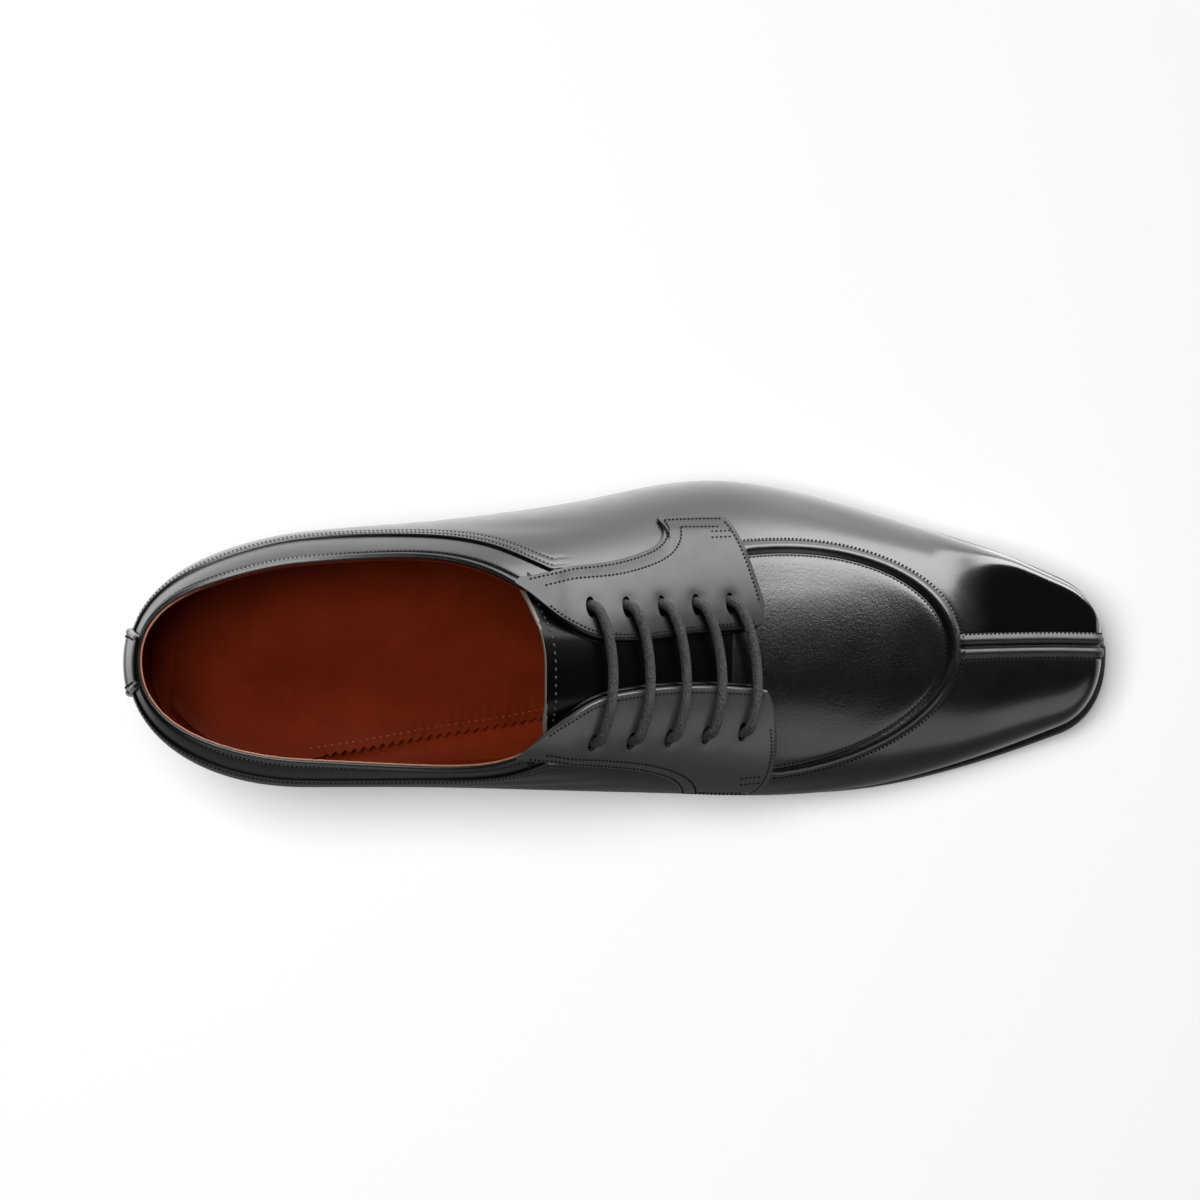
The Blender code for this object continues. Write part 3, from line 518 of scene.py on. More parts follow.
lipProfile = table(  # across the toe seam, from its groove over a lip
    ("x", "z"), (0, -0.6), (0.3, -0.45), (0.7, 0.25), (1.2, 0.68), (1.8, 0.88), (2.4, 0.80), (3.0, 0.5),
    (3.5, 0.16), (3.9, -0.04), (4.4, -0.02), (5.2, 0),
)
pipingProfile = table(  # from the collar's edge over its piping and the groove behind it
    ("x", "z"), (0, 0.1), (0.45, 0.38), (0.95, 0.46), (1.4, 0.2), (1.75, -0.35), (2.1, -0.5), (2.5, -0.3),
    (3.0, -0.08), (3.8, 0),
)
stepProfile = table(  # across the quarter's edge, onto the sunk collar band
    ("x", "z"), (-0.7, 0), (-0.35, -0.05), (-0.1, -0.4), (0.1, -1.05), (0.4, -1.05), (1.0, -1.0),
)
seamSteps = np.concatenate([
    np.linspace(-6, -3.4, 7)[:-1], np.linspace(-3.4, 3.8, 37)[:-1], np.linspace(3.8, 6, 6),
])
zeroRow = upperSizes["lowRows"] + upperSizes["sideRows"] - 1 + int(np.argmin(np.abs(seamSteps)))
farOff = 99.0  # stands for a distance that isn't measured


def across(profile, distance):
    return read(profile, "z", np.clip(distance, profile["x"][0], profile["x"][-1]))


def collarShare(x, side):
    return shareAtHeight(x, read(topLine, sideName(side), np.minimum(x, upperSizes["slotStart"])))


def slotShare(x, side):
    blend = ease(upperSizes["collarEnd"], upperSizes["slotStart"], x)
    return collarShare(x, side) * (1 - blend) + shareAtOffset(x, upperSizes["slotHalf"], side) * blend


def bandShare(x, side):
    band = shareAtHeight(x, read(topLine, sideName(side), x) - read(topLine, "drop", x))
    blend = ease(*upperSizes["bandToApron"], x)
    line = band * (1 - blend) + shareAtOffset(x, upperSizes["apronHalf"], side) * blend
    return np.minimum(line, slotShare(x, side) - upperSizes["leastBand"])


def bandSink(x, share, side):
    # how deep the upper's surface lies below the last on the collar band
    inside = ease(-0.2, 0.8, (share - bandShare(x, side)) * last["girth"])
    return upperSizes["sink"] * inside * (1 - ease(*upperSizes["sinkEnd"], x))


def rearColumn(x, side):
    edge, line = slotShare(x, side), bandShare(x, side)
    near = line + seamSteps / last["girth"]
    near = np.minimum(near, edge - 0.012 + 0.001 * np.linspace(0, 1, len(near)))
    low = np.linspace(0, last["wideShare"], upperSizes["lowRows"] + 1)[:-1]
    sideRows = np.linspace(last["wideShare"], near[0], upperSizes["sideRows"])[:-1]
    plugRows = np.linspace(near[-1], edge, upperSizes["plugRows"])[1:]
    shares = np.concatenate([low, sideRows, near, plugRows])
    fromLine = (shares - line) * last["girth"]
    toEdge = (edge - shares) * last["girth"]
    fade = 1 - ease(*upperSizes["sinkEnd"], x)
    step = across(stepProfile, fromLine) * upperSizes["sink"] * fade
    groove = sum(-0.12 * np.exp(-((fromLine - row) / 0.45) ** 2) for row in upperSizes["bandRows"]) * fade
    lift = step + groove + np.where(fromLine > 1.5, across(pipingProfile, toEdge), 0) * fade
    far = np.full(len(shares), farOff)
    return lastPoint(x, shares, side), np.full(len(shares), x), shares, lift, fromLine, toEdge, far


def fanLines(side):
    # plan lines from the outline of the forepart, over the apron seam, to the throat
    turn = np.linspace(0, math.pi / 2, 400)
    run = upperSizes["throatX"] + (last["toeX"] - upperSizes["throatX"]) * np.sin(turn)
    outline = np.stack([run, halfWidth(run, side)], -1)
    start = math.asin((upperSizes["throatX"] - upperSizes["apronX"]) / upperSizes["apronLength"])
    turn = np.linspace(start, math.pi / 2, 400)
    apron = np.stack([upperSizes["apronX"] + upperSizes["apronLength"] * np.sin(turn),
                      upperSizes["apronHalf"] * np.cos(turn)], -1)
    seam = np.linspace(upperSizes["seamReach"], 0, upperSizes["seamColumns"])
    feet = [resample(line[line[:, 1] > seam[0] + 0.3], upperSizes["fanColumns"]) for line in (outline, apron)]
    tips = [np.stack([np.interp(seam, line[::-1, 1], line[::-1, 0]), seam], -1) for line in (outline, apron)]
    outer, inner = (np.concatenate(pair) for pair in zip(feet, tips))
    spread = np.linspace(upperSizes["slotHalf"], 0, upperSizes["fanColumns"] + 4)[:-4]
    throatOffsets = np.concatenate([spread, seam / seam[0] * spread[-1] * 0.8])
    return outer, inner, np.stack([np.full(len(outer), upperSizes["throatX"]), throatOffsets], -1)


def fanColumn(outer, inner, throat, side):
    lowRows, sideRows = upperSizes["lowRows"], upperSizes["sideRows"]
    full = (shareAtOffset(inner[0], inner[1], side) - last["wideShare"]) / (1 - last["wideShare"])
    bend = roundAt(inner[0], side)
    turn = np.linspace(0, 1, sideRows) * full * math.pi / 2
    way = (1 - np.cos(turn) ** bend) / (1 - np.cos(turn[-1]) ** bend)
    outStep = (outer - inner) / np.linalg.norm(outer - inner)
    inStep = (throat - inner) / np.linalg.norm(throat - inner)
    near = np.array([inner + (outStep * -d if d < 0 else inStep * d) for d in seamSteps])
    ways = np.linspace(0, 1, upperSizes["plugRows"])[1:, None]
    lines = np.concatenate([np.repeat(outer[None], lowRows, 0), outer + (near[0] - outer) * way[:-1, None],
                            near, near[-1] + (throat - near[-1]) * ways])
    shares = shareAtOffset(lines[:, 0], lines[:, 1], side)
    shares[:lowRows] = np.linspace(0, last["wideShare"], lowRows + 1)[:-1]
    skin = lastPoint(lines[:, 0], shares, side, lines[:, 1])
    far = np.full(len(lines), farOff)
    return skin, lines[:, 0], shares, np.zeros(len(lines)), far, far, lines[:, 1]


def upperGrid():
    halves = []
    heel = last["heelRun"] * (1 - np.cos(np.linspace(0, math.pi / 2, upperSizes["heelColumns"])))
    quarter = np.linspace(last["heelRun"], upperSizes["throatX"], upperSizes["rearColumns"])[1:-1]
    rear = np.concatenate([heel, quarter])
    for side in (lateral, medial):
        half = [(side, *rearColumn(x, side)) for x in rear]
        half += [(side, *fanColumn(*line, side)) for line in zip(*fanLines(side))]
        halves.append(half)
    columns = halves[0] + halves[1][-2:0:-1]
    grid = {"side": np.array([c[0] for c in columns])}
    for k, key in enumerate(("skin", "x", "share", "lift", "fromLine", "toEdge", "offset"), 1):
        grid[key] = np.stack([c[k] for c in columns], 1)
    grid["normal"] = -gridNormals(grid["skin"], True)
    return grid


def apronLift(grid):
    # distance of each point from the bead's line, then the bead and the lips of the toe seam
    shown = grid["x"][zeroRow] > upperSizes["apronFrom"]
    fine = resample(grid["skin"][zeroRow][shown], 2400)
    rows = slice(zeroRow - upperSizes["beadRows"], None)
    part = grid["skin"][rows][:, shown]
    near = [np.sqrt(((chunk[:, None] - fine[None]) ** 2).sum(-1)).min(1)
            for chunk in np.array_split(part.reshape(-1, 3), 40)]
    ahead = np.arange(len(grid["skin"]))[:, None] < zeroRow
    distance = np.full(grid["x"].shape, -farOff)
    block = distance[rows].copy()
    block[:, shown] = np.concatenate(near).reshape(part.shape[:2]) * np.where(ahead[rows], -1.0, 1.0)
    distance[rows] = block
    start = [ease(*upperSizes["beadStart"][side], x) for side, x in zip(grid["side"], grid["x"][zeroRow])]
    bump = across(beadProfile, distance) * np.stack(start)
    lips = across(lipProfile, grid["offset"]) * ease(0.4, 2.6, -distance)
    lips = np.where(ahead & (grid["offset"] < upperSizes["seamReach"]), lips, 0)
    return distance, np.where(ahead & (lips > bump), lips, bump + np.where(ahead & (lips < 0), lips, 0))


creases = (  # side, x, share, length along x, width in share, depth: soft buckles by the collar and the flex
    (medial, 118.0, 0.47, 16.0, 0.030, 0.55), (medial, 126.0, 0.40, 20.0, 0.035, 0.45),
    (lateral, 121.0, 0.50, 18.0, 0.040, 0.35), (medial, 205.0, 0.42, 16.0, 0.05, 0.25),
    (lateral, 214.0, 0.50, 18.0, 0.05, 0.22),
)


def creaseLift(grid):
    lift = np.zeros_like(grid["x"])
    for side, x, share, length, width, depth in creases:
        along = grid["x"] - x
        spot = np.exp(-(along / length) ** 2 - ((grid["share"] - share - along * 0.002) / width) ** 2)
        lift -= depth * spot * (grid["side"] == side)
    return lift


def rolledLoop(outer, normal, up, thickness):
    # the edge of a shell turned over from its outer to its inner face
    radius = thickness[:, None] / 2
    turns = np.radians([25, 50, 75, 105, 130, 155])
    return [outer - normal * radius + radius * (math.cos(t) * normal + math.sin(t) * up) for t in turns]


upper = upperGrid()
distance, seamLift = apronLift(upper)
upper["lift"] = upper["lift"] + seamLift + creaseLift(upper)
upper["outer"] = raised(upper["skin"], upper["normal"], upper["lift"])
upEdge = unit(upper["skin"][-1] - upper["skin"][-2])
outerCount = len(upper["outer"])
innerRows = np.unique(np.concatenate([
    np.arange(9), np.arange(9, zeroRow, 5), np.arange(zeroRow, outerCount, 6), [outerCount - 1],
]))


def wallAt(depth, rows):
    return (upper["skin"] - upper["normal"] * depth)[rows]


def bySide(values):
    return np.where(upper["side"] == lateral, values[lateral], values[medial])


# wax on the toe, most on the lateral side, and a livelier grain on the apron
waxLook = {
    "polish": 0.4, "toePolish": {lateral: 0.6, medial: 0.1}, "polishRun": (255, 266), "apronPolish": 0.05,
    "shine": 0.1, "vampShine": 0.32, "vampRun": (178, 205), "toeShine": {lateral: 0.5, medial: 0.15},
    "shineRun": (257, 268), "seamDull": (3.4, 4.4), "grainFade": 0.6, "grainRun": (225, 250),
}


def waxValues(shape):
    x = upper["x"]
    apron = np.clip((distance + 1) / 4, 0, 1) * (x > upperSizes["apronFrom"])
    nearSeam = (1 - ease(*waxLook["seamDull"], upper["offset"])) * (np.arange(outerCount)[:, None] < zeroRow)
    waxed = waxLook["polish"] + bySide(waxLook["toePolish"]) * ease(*waxLook["polishRun"], x)
    shine = waxLook["shine"] + waxLook["vampShine"] * ease(*waxLook["vampRun"], x)
    shine = shine + ease(*waxLook["shineRun"], x) * bySide(waxLook["toeShine"])
    values = {key: np.zeros(shape) for key in ("polish", "grain", "shine")}
    values["polish"][:outerCount] = np.clip(waxed + waxLook["apronPolish"] * apron - nearSeam, 0, 1)
    values["grain"][:outerCount] = apron * (1 - waxLook["grainFade"] * ease(*waxLook["grainRun"], x))
    values["shine"][:outerCount] = shine * (1 - nearSeam)
    return values


inner = wallAt(upperSizes["leather"], innerRows)
rim = rolledLoop(upper["outer"][-1], upper["normal"][-1], upEdge, upper["lift"][-1] + upperSizes["leather"])
loops = np.stack(list(upper["outer"]) + rim + list(inner[::-1]))
upperPiece = gridPiece("upperLeather", loops, True, True, waxValues(loops.shape[:2]), [calf], sharp=60)
place(upperPiece, "black_calf", "upper")

# lining: a thinner shell inside the leather, its raw edge at the collar
gap = upperSizes["leather"] + upperSizes["liningGap"]
liningRows = innerRows[1:]  # its foot stays behind the insole
liningOuter, liningInner = (wallAt(depth, liningRows) for depth in (gap, gap + upperSizes["lining"]))
collarX = upper["x"][-1]
ragged = 0.12 * np.sin(collarX * 1.7) * np.sin(collarX * 0.43 + 1)
edgeShow = np.where(upper["side"] == medial, 0.0, -0.9 * ease(4, 30, collarX)) + ragged
liningThick = np.full(len(upEdge), upperSizes["lining"])
lip = rolledLoop(raised(liningOuter[-1], upEdge, edgeShow), upper["normal"][-1], upEdge, liningThick)
liningLoops = np.stack(list(liningOuter) + lip + list(liningInner[::-1]))
lipRows = [0] * len(liningOuter) + [1] * (len(lip) - 1) + [0] * (len(liningInner) + 1)
liningPiece = gridPiece("lining", liningLoops, True, True, None, [lining, rawEdge], lipRows, sharp=60)
place(liningPiece, "tan_lining")

# rows of stitches on the upper
shellNormal = -gridNormals(upper["outer"], True)
columnX = upper["x"][zeroRow]


def contour(values, level, keep):
    # where a value that grows up each column of the shell passes a level
    path, normals = [], []
    for k in np.where(keep)[0]:
        column = values[:, k]
        cross = np.where((column[:-1] <= level) & (column[1:] > level))[0]
        if len(cross):
            i = cross[-1]
            t = (level - column[i]) / (column[i + 1] - column[i])
            path.append(upper["outer"][i, k] * (1 - t) + upper["outer"][i + 1, k] * t)
            normals.append(shellNormal[i, k])
    return np.array(path), np.array(normals)


starts = np.array([upperSizes["beadStart"][side][0] + upperSizes["apronRowLead"] for side in upper["side"]])
apronRows = [contour(distance, upperSizes[row], columnX > starts) for row in ("outerRow", "innerRow")]
stitchPiece("apronStitches", apronRows, scale=0.88)
toeRows, collarRows = [], []
front = slice(upperSizes["lowRows"], zeroRow - upperSizes["tipRows"])
for side in (lateral, medial):
    mine = np.where((upper["side"] == side) & (upper["offset"][0] < 6))[0]
    k = mine[np.argmin(np.abs(upper["offset"][0, mine] - upperSizes["lipRow"]))]
    toeRows.append((upper["outer"][front, k], shellNormal[front, k]))
    keep = (upper["side"] == side) & (columnX > upperSizes["rowStart"])
    for level in upperSizes["bandRows"]:
        banded = keep & (columnX < upperSizes["bandRowEnd"][side])
        collarRows.append(contour(upper["fromLine"], level, banded))
    edged = keep & (columnX < upperSizes["collarRowEnd"])
    collarRows.append(contour(-upper["toEdge"], -upperSizes["collarRow"], edged))
stitchPiece("toeSeamStitches", toeRows)
stitchPiece("collarStitches", collarRows, scale=0.68)

# facings: crisp tab, rounded front corner, punched for the lace
facingSizes = {
    "low": 0.4, "high": 2.0, "skived": 1.05, "skiveRun": 7.0, "round": 0.5, "step": 0.55, "rows": 40,
    "frontRound": 0.5, "frontTurn": 5.5, "tail": 14.0, "tailThick": 0.06, "insets": (0, 0.07, 0.2, 0.45),
    "rowIn": 1.35, "frontRow": 2.3, "secondRow": 5.2, "throatRow": 1.7, "throatRowEnds": (12, 20),
    "firstX": {lateral: 139.4, medial: 139.9}, "pitch": {lateral: 10.35, medial: 11.2},
    "offset": {lateral: 18.8, medial: 21.4}, "eyelets": 5, "eyeletRadius": 1.6, "eyeletLong": 2.1,
    "eyeletShift": (0.75, 1.7), "eyeletDent": 0.35, "dentReach": 2.7, "cutDeep": 9.0, "cutLift": 1.2,
    "tack": {lateral: (174.5, 38.0), medial: (184.0, 34.5)}, "tackLong": 7.0, "tackHalf": 0.9,
    "backX": (121.0, 187.5), "backLow": -0.32, "backThick": 0.66,
    "lapOut": 1.1, "lapIn": 6.0, "lapTuck": 0.7, "lapRun": (122, 138),
}
facingParts = {  # x, share and the throat point opposite, for the rear curve, the tab and the front edge
    lateral: (
        ((118.6, 0.715, 117.4), (123.6, 0.709, 125.5), (129, 0.705, 131.5), (136.4, 0.706, 140.5),
         (143, 0.709, 147.5), (149.5, 0.704, 153.5), (155.5, 0.690, 160.5), (159.8, 0.664, 167),
         (161.0, 0.634, 171), (160.4, 0.604, 173.5), (159.2, 0.577, 175.5)),
        ((159.2, 0.577, 175.5), (169.5, 0.583, 179.5), (180.2, 0.585, 183.5)),
        ((180.2, 0.585, 183.5), (184.4, 0.668, 186), (189.0, 0.790, 188.8), (191.5, 0.862, 190.2)),
    ),
    medial: (
        ((118.6, 0.664, 117.4), (126, 0.641, 128.5), (134, 0.620, 137), (147, 0.590, 150),
         (157, 0.560, 160.5), (163.2, 0.513, 169), (165.8, 0.450, 173.5), (166.0, 0.385, 176.5)),
        ((166.0, 0.385, 176.5), (177, 0.376, 180.5), (188.6, 0.380, 184.5)),
        ((188.6, 0.380, 184.5), (192.2, 0.460, 186.5), (194.4, 0.560, 188.5), (195.4, 0.660, 190.4),
         (195.4, 0.740, 191.6), (194.8, 0.800, 192.4)),
    ),
}
throatLine = table(
    ("x", "lateral", "medial"),
    (117, 25.6, 26.8), (121, 22.8, 24.0), (127, 17.6, 18.7), (132, 13.2, 14.5), (137, 10.2, 11.0),
    (142, 8.5, 8.6), (150, 7.8, 6.9), (157, 7.9, 6.2), (168, 9.0, 6.1), (178, 9.4, 6.7), (188, 9.7, 8.1),
    (194, 9.9, 9.2),
)


def eyeletSpots(side):
    count = facingSizes["eyelets"]
    x = facingSizes["firstX"][side] + facingSizes["pitch"][side] * np.arange(count)
    return x, np.full(count, side * facingSizes["offset"][side])


def facingEdge(side):
    # dense points along the outer edge, corners kept, and the place of the front corner
    parts = []
    for rows in facingParts[side]:
        rows = np.array(rows, float)
        run = runOf(rows[:, :2] * (1, last["girth"]))
        at = np.linspace(0, run[-1], max(int(run[-1] / facingSizes["step"]), 6))
        part = np.stack([curveAt(run, rows[:, k], at) for k in range(3)], -1)
        parts.append(part if not parts else part[1:])
    edge = np.concatenate(parts)
    step = np.linalg.norm((edge[-1, :2] - edge[-2, :2]) * (1, last["girth"]))
    # extra columns at the front end, for its rounding
    extra = [edge[-1] + (edge[-2] - edge[-1]) * d / step for d in facingSizes["insets"][:0:-1]]
    return np.concatenate([edge[:-1], extra, edge[-1:]]), len(parts[0]) + len(parts[1]) - 1


def rimShare(d):
    r = facingSizes["round"]
    return 0.4 + 0.6 * np.sqrt(1 - (1 - np.clip(d, 0, r) / r) ** 2)


def buildFacing(side, edge):
    sizes = facingSizes
    throatX = edge[:, 2]
    throatShare = shareAtOffset(throatX, read(throatLine, sideName(side), throatX), side)
    ends = lastPoint(edge[:, 0], edge[:, 1], side), lastPoint(throatX, throatShare, side)
    length = np.linalg.norm(ends[1] - ends[0], axis=1) * 1.03
    steps = np.linspace(0, 1, sizes["rows"])[1:-1]
    first = np.array(sizes["insets"])[:, None] * np.minimum(1, length / 4) / length
    middle = first[-1] + (1 - 2 * first[-1]) * steps[:, None]
    way = np.concatenate([first, middle, 1 - first[::-1]])
    run = runOf(ends[0])
    turn = np.clip((run - run[-1] + sizes["frontTurn"]) / sizes["frontTurn"], 0, 1)
    way = way * (1 - sizes["frontRound"] * (1 - np.sqrt(1 - turn ** 2)))  # rounds the front corner
    x = edge[:, 0] + (throatX - edge[:, 0]) * way
    share = edge[:, 1] + (throatShare - edge[:, 1]) * way
    point, normal = skinFrame(x, share, side)
    fromEdge, fromThroat = way * length, (way[-1] - way) * length
    fromFront = (run[-1] - run)[None] + 0 * way
    rim = rimShare(np.minimum(np.minimum(fromEdge, fromThroat), fromFront))
    high = sizes["skived"] + (sizes["high"] - sizes["skived"]) * ease(0, sizes["skiveRun"], fromEdge)
    grown = sizes["tailThick"] + (1 - sizes["tailThick"]) * ease(0, sizes["tail"], run)
    high = sizes["low"] + (high - sizes["low"]) * grown
    foot = sizes["low"] - bandSink(x, share, side)
    spots, _ = planFrame(*eyeletSpots(side))
    reach = np.sqrt(((point[..., None, :] - spots) ** 2).sum(-1)).min(-1)
    dent = sizes["eyeletDent"] * np.exp(-(reach / sizes["dentReach"]) ** 2)
    top = raised(point, normal, foot + (high - sizes["low"] - dent) * rim)
    name = "facing" + sideName(side).capitalize()
    piece = sheetPiece(name, raised(point, normal, foot), top, [facingCalf[side]], sharp=50)
    punchEyelets(piece, side)
    place(piece, "black_calf", "facing_" + sideName(side))
    return {"top": top, "normal": normal, "fromThroat": fromThroat, "piece": piece}


def punchEyelets(piece, side):
    cutters = []
    shift = (facingSizes["eyeletShift"][0], side * facingSizes["eyeletShift"][1], 0)
    for x, offset in zip(*eyeletSpots(side)):
        point, normal = planFrame(x, offset)
        bpy.ops.object.select_all(action="DESELECT")
        bpy.ops.mesh.primitive_cylinder_add(
            vertices=24, radius=facingSizes["eyeletRadius"] * mm, depth=facingSizes["cutDeep"] * mm)
        cutter = bpy.context.object
        cutter.rotation_mode = "QUATERNION"
        cutter.rotation_quaternion = Vector((0, 0, 1)).rotation_difference(Vector(normal))
        cutter.location = toRow(point + normal * facingSizes["cutLift"] - shift).tolist()
        cutter.scale = (1.0, facingSizes["eyeletLong"], 1.0)
        cutters.append(cutter)
    for cutter in cutters:
        cutter.select_set(True)
    bpy.ops.object.join()
    cutter = bpy.context.object
    cut = piece.modifiers.new("eyelets", "BOOLEAN")
    cut.operation, cut.solver, cut.object = "DIFFERENCE", "EXACT", cutter
    bpy.ops.object.select_all(action="DESELECT")
    bpy.context.view_layer.objects.active = piece
    piece.select_set(True)
    bpy.ops.object.modifier_apply(modifier="eyelets")
    bpy.data.objects.remove(cutter)
    bpy.ops.object.shade_smooth_by_angle(angle=math.radians(50))


def throatRow(grid):
    # a row at a distance from the throat, straight across the facing's grid
    distance, ends = facingSizes["throatRow"], facingSizes["throatRowEnds"]
    path, normals = [], []
    for k in range(ends[0], grid["top"].shape[1] - ends[1]):
        column = grid["fromThroat"][:, k]
        order = np.argsort(column)
        if column.max() >= distance * 1.6:
            for rows, key in ((path, "top"), (normals, "normal")):
                rows.append([np.interp(distance, column[order], grid[key][order, k, i]) for i in range(3)])
    return np.array(path), np.array(normals)


def seatedOn(piece, points, normals):
    # points moved along their normals onto the outer face of a piece
    bpy.context.view_layer.update()
    seats = []
    for point, normal in zip(points, normals):
        start = toRow(point + normal * 8)
        found, spot, _, _ = piece.ray_cast(Vector(start), Vector(-normal), distance=0.012)
        seats.append(point + normal * (8 - (Vector(start) - spot).length / mm) if found else point)
    return np.array(seats)


def offsetRow(grid, edge, side, distance, span):
    # a row parallel to the facing's edge at a distance, trimmed at the corners
    rim, normal = skinFrame(edge[:, 0], edge[:, 1], side)
    ahead = np.gradient(rim, axis=0)
    inward = unit(np.cross(normal, ahead))
    middle = grid["top"][len(grid["top"]) // 2]
    if ((middle - rim) * inward).sum() < 0:
        inward = -inward
    path = rim + inward * distance
    gaps = np.sqrt(((path[:, None] - rim[None]) ** 2).sum(-1)).min(1)
    number = np.arange(len(edge))
    x, y = path[(gaps > distance * 0.96) & (number >= span[0]) & (number < span[1]), :2].T
    offset = np.abs(y - read(lastTable, "centre", x))
    point, normal = skinFrame(x, shareAtOffset(x, offset, side), side)
    return seatedOn(grid["piece"], point, normal), normal


def tackRow(side, aside):
    # half of the bar tack where the bead runs under the facing
    start, offset = facingSizes["tack"][side]
    x = np.linspace(start, start + facingSizes["tackLong"], 12)
    point, normal = skinFrame(x, shareAtOffset(x, offset + aside, side), side)
    return point + normal * (facingSizes["high"] - 0.05), normal


def buildBacking(side):
    # the facing's backing shows as a second edge along the throat
    tuck = facingSizes["lapTuck"]
    x = np.linspace(*facingSizes["backX"], 130)
    lapOut = (facingSizes["lapOut"] + tuck) * ease(*facingSizes["lapRun"], x) - tuck
    inset = -lapOut + (facingSizes["lapIn"] + lapOut) * np.linspace(0, 1, 12)[:, None]
    x = x + 0 * inset
    share = shareAtOffset(x, read(throatLine, sideName(side), x) + inset, side)
    point, normal = skinFrame(x, share, side)
    foot = facingSizes["backLow"] - bandSink(x, share, side)
    low = raised(point, normal, foot)
    top = raised(point, normal, foot + facingSizes["backThick"] * rimShare(inset + lapOut))
    name = "facingBacking" + sideName(side).capitalize()
    place(sheetPiece(name, low, top, [tongueCalf], sharp=60), "black_calf")


for side in (lateral, medial):
    edge, corner = facingEdge(side)
    grid = buildFacing(side, edge)
    rows = [offsetRow(grid, edge, side, facingSizes["rowIn"], (4, corner - 2)),
            offsetRow(grid, edge, side, facingSizes["frontRow"], (corner + 2, len(edge) - 4)),
            offsetRow(grid, edge, side, facingSizes["secondRow"], (10, corner - 6)), throatRow(grid)]
    rows += [tackRow(side, aside * facingSizes["tackHalf"]) for aside in (-1, 1)]
    stitchPiece("facingStitches" + sideName(side).capitalize(), rows)
    buildBacking(side)

# tongue under the facings, its free end slanted back on the lateral side
tongueSizes = {
    "topX": 126.6, "slant": 10.4, "topHalf": 29.0, "fullX": 150.0, "half": 30.0, "endX": 182.2,
    "thick": 0.9, "sink": 0.3, "dip": 2.5, "dipRun": (9.0, 18.0), "cutShow": 0.3,
    "stitchIn": 3.0, "stitchPitch": 2.3, "stitchScale": 1.2, "sideRows": 6,
}


def tongueTop(way):
    return tongueSizes["topX"] - tongueSizes["slant"] * np.clip(way, 0, 1) ** 2


def buildTongue():
    sizes = tongueSizes
    ways = np.linspace(-1, 1, 61)[:, None]
    along = np.concatenate([[0, 0.002, 0.006, 0.012], np.linspace(0.02, 1, 90)])[None]
    topX = tongueTop(ways)
    x = topX + (sizes["endX"] - topX) * along
    half = sizes["topHalf"] + (sizes["half"] - sizes["topHalf"]) * ease(sizes["topX"], sizes["fullX"], x)
    offset = ways * half
    point, normal = planFrame(x, offset)
    foot = -sizes["sink"] - sizes["dip"] * ease(*sizes["dipRun"], np.abs(offset)) - sizes["thick"]
    low = raised(point, normal, foot)
    top = raised(point, normal, foot + sizes["thick"] * rimShare(x - topX))
    piece = sheetPiece("tongue", low, top, [tongueCalf, tongueEdge], lowFinish=1, sharp=50)
    for face in piece.data.polygons:  # the cut end shows the undyed leather
        centre = face.center / mm + Vector((last["frameX"], last["frameY"], 0))
        aside = centre.y - float(read(lastTable, "centre", centre.x))
        if centre.x < tongueTop(aside / sizes["topHalf"]) + sizes["cutShow"]:
            face.material_index = 1
    place(piece, "black_calf", "tongue")
    row = int(np.argmin(np.abs(along[0] * (sizes["endX"] - sizes["topX"]) - sizes["stitchIn"])))
    inner = slice(sizes["sideRows"], -sizes["sideRows"])
    stitchPiece("tongueStitches", [(top[inner, row], normal[inner, row])], finish=soleUnder,
                pitch=sizes["stitchPitch"], scale=sizes["stitchScale"])


buildTongue()

# strip over the back seam, turned over the collar
stripSizes = {
    "half": 9.0, "low": 0.15, "high": 1.2, "bead": 0.5, "beadIn": 1.0, "beadWide": 0.75, "foot": 0.012,
    "follow": 0.55, "turnGap": 0.2, "turnLow": 0.12, "turnThick": 0.75,
    "rowColumns": (8, -9), "rowEnds": (6, -10),
}


def buildStrip():
    sizes = stripSizes
    turns = np.linspace(1, -1, 61) * math.asin(sizes["half"] / lastTable["lateral"][0])
    columns, sinks = [], []
    for turn in turns:
        side = lateral if turn >= 0 else medial
        x = last["heelRun"] * (1 - math.cos(turn))
        shares = np.linspace(sizes["foot"], float(collarShare(x, side)), 90)
        columns.append(lastPoint(x, shares, side))
        sinks.append(-bandSink(x, shares, side))
    skin, sunk = np.stack(columns, 1), np.stack(sinks, 1)
    normal = gridNormals(skin, False)
    fromEdge = sizes["half"] - np.abs(np.linspace(-sizes["half"], sizes["half"], 61))
    bead = sizes["bead"] * np.exp(-((fromEdge - sizes["beadIn"]) / sizes["beadWide"]) ** 2)
    thick = (sizes["high"] - sizes["low"] + bead) * rimShare(fromEdge)
    foot = sizes["low"] + sunk * sizes["follow"]
    low, top = raised(skin, normal, foot), raised(skin, normal, foot + thick)
    up = unit(skin[-1] - skin[-2])
    start = low[-1]
    radius = (upperSizes["leather"] + sizes["turnGap"]) / 2
    for t in np.radians(np.linspace(20, 150, 8)):  # over the collar's edge
        outward = math.cos(t) * normal[-1] + math.sin(t) * up
        ring = start - normal[-1] * radius + radius * outward
        cover = raised(ring, outward, sizes["turnLow"] + sizes["turnThick"] * thick)
        low = np.concatenate([low, (ring + outward * sizes["turnLow"])[None]])
        top = np.concatenate([top, cover[None]])
        normal = np.concatenate([normal, outward[None]])
    place(sheetPiece("backStrip", low, top, [plainCalf], sharp=60), "black_calf", "back_strip")
    shown = slice(*sizes["rowEnds"])
    stitchPiece("stripStitches", [(top[shown, k], normal[shown, k]) for k in sizes["rowColumns"]])


buildStrip()

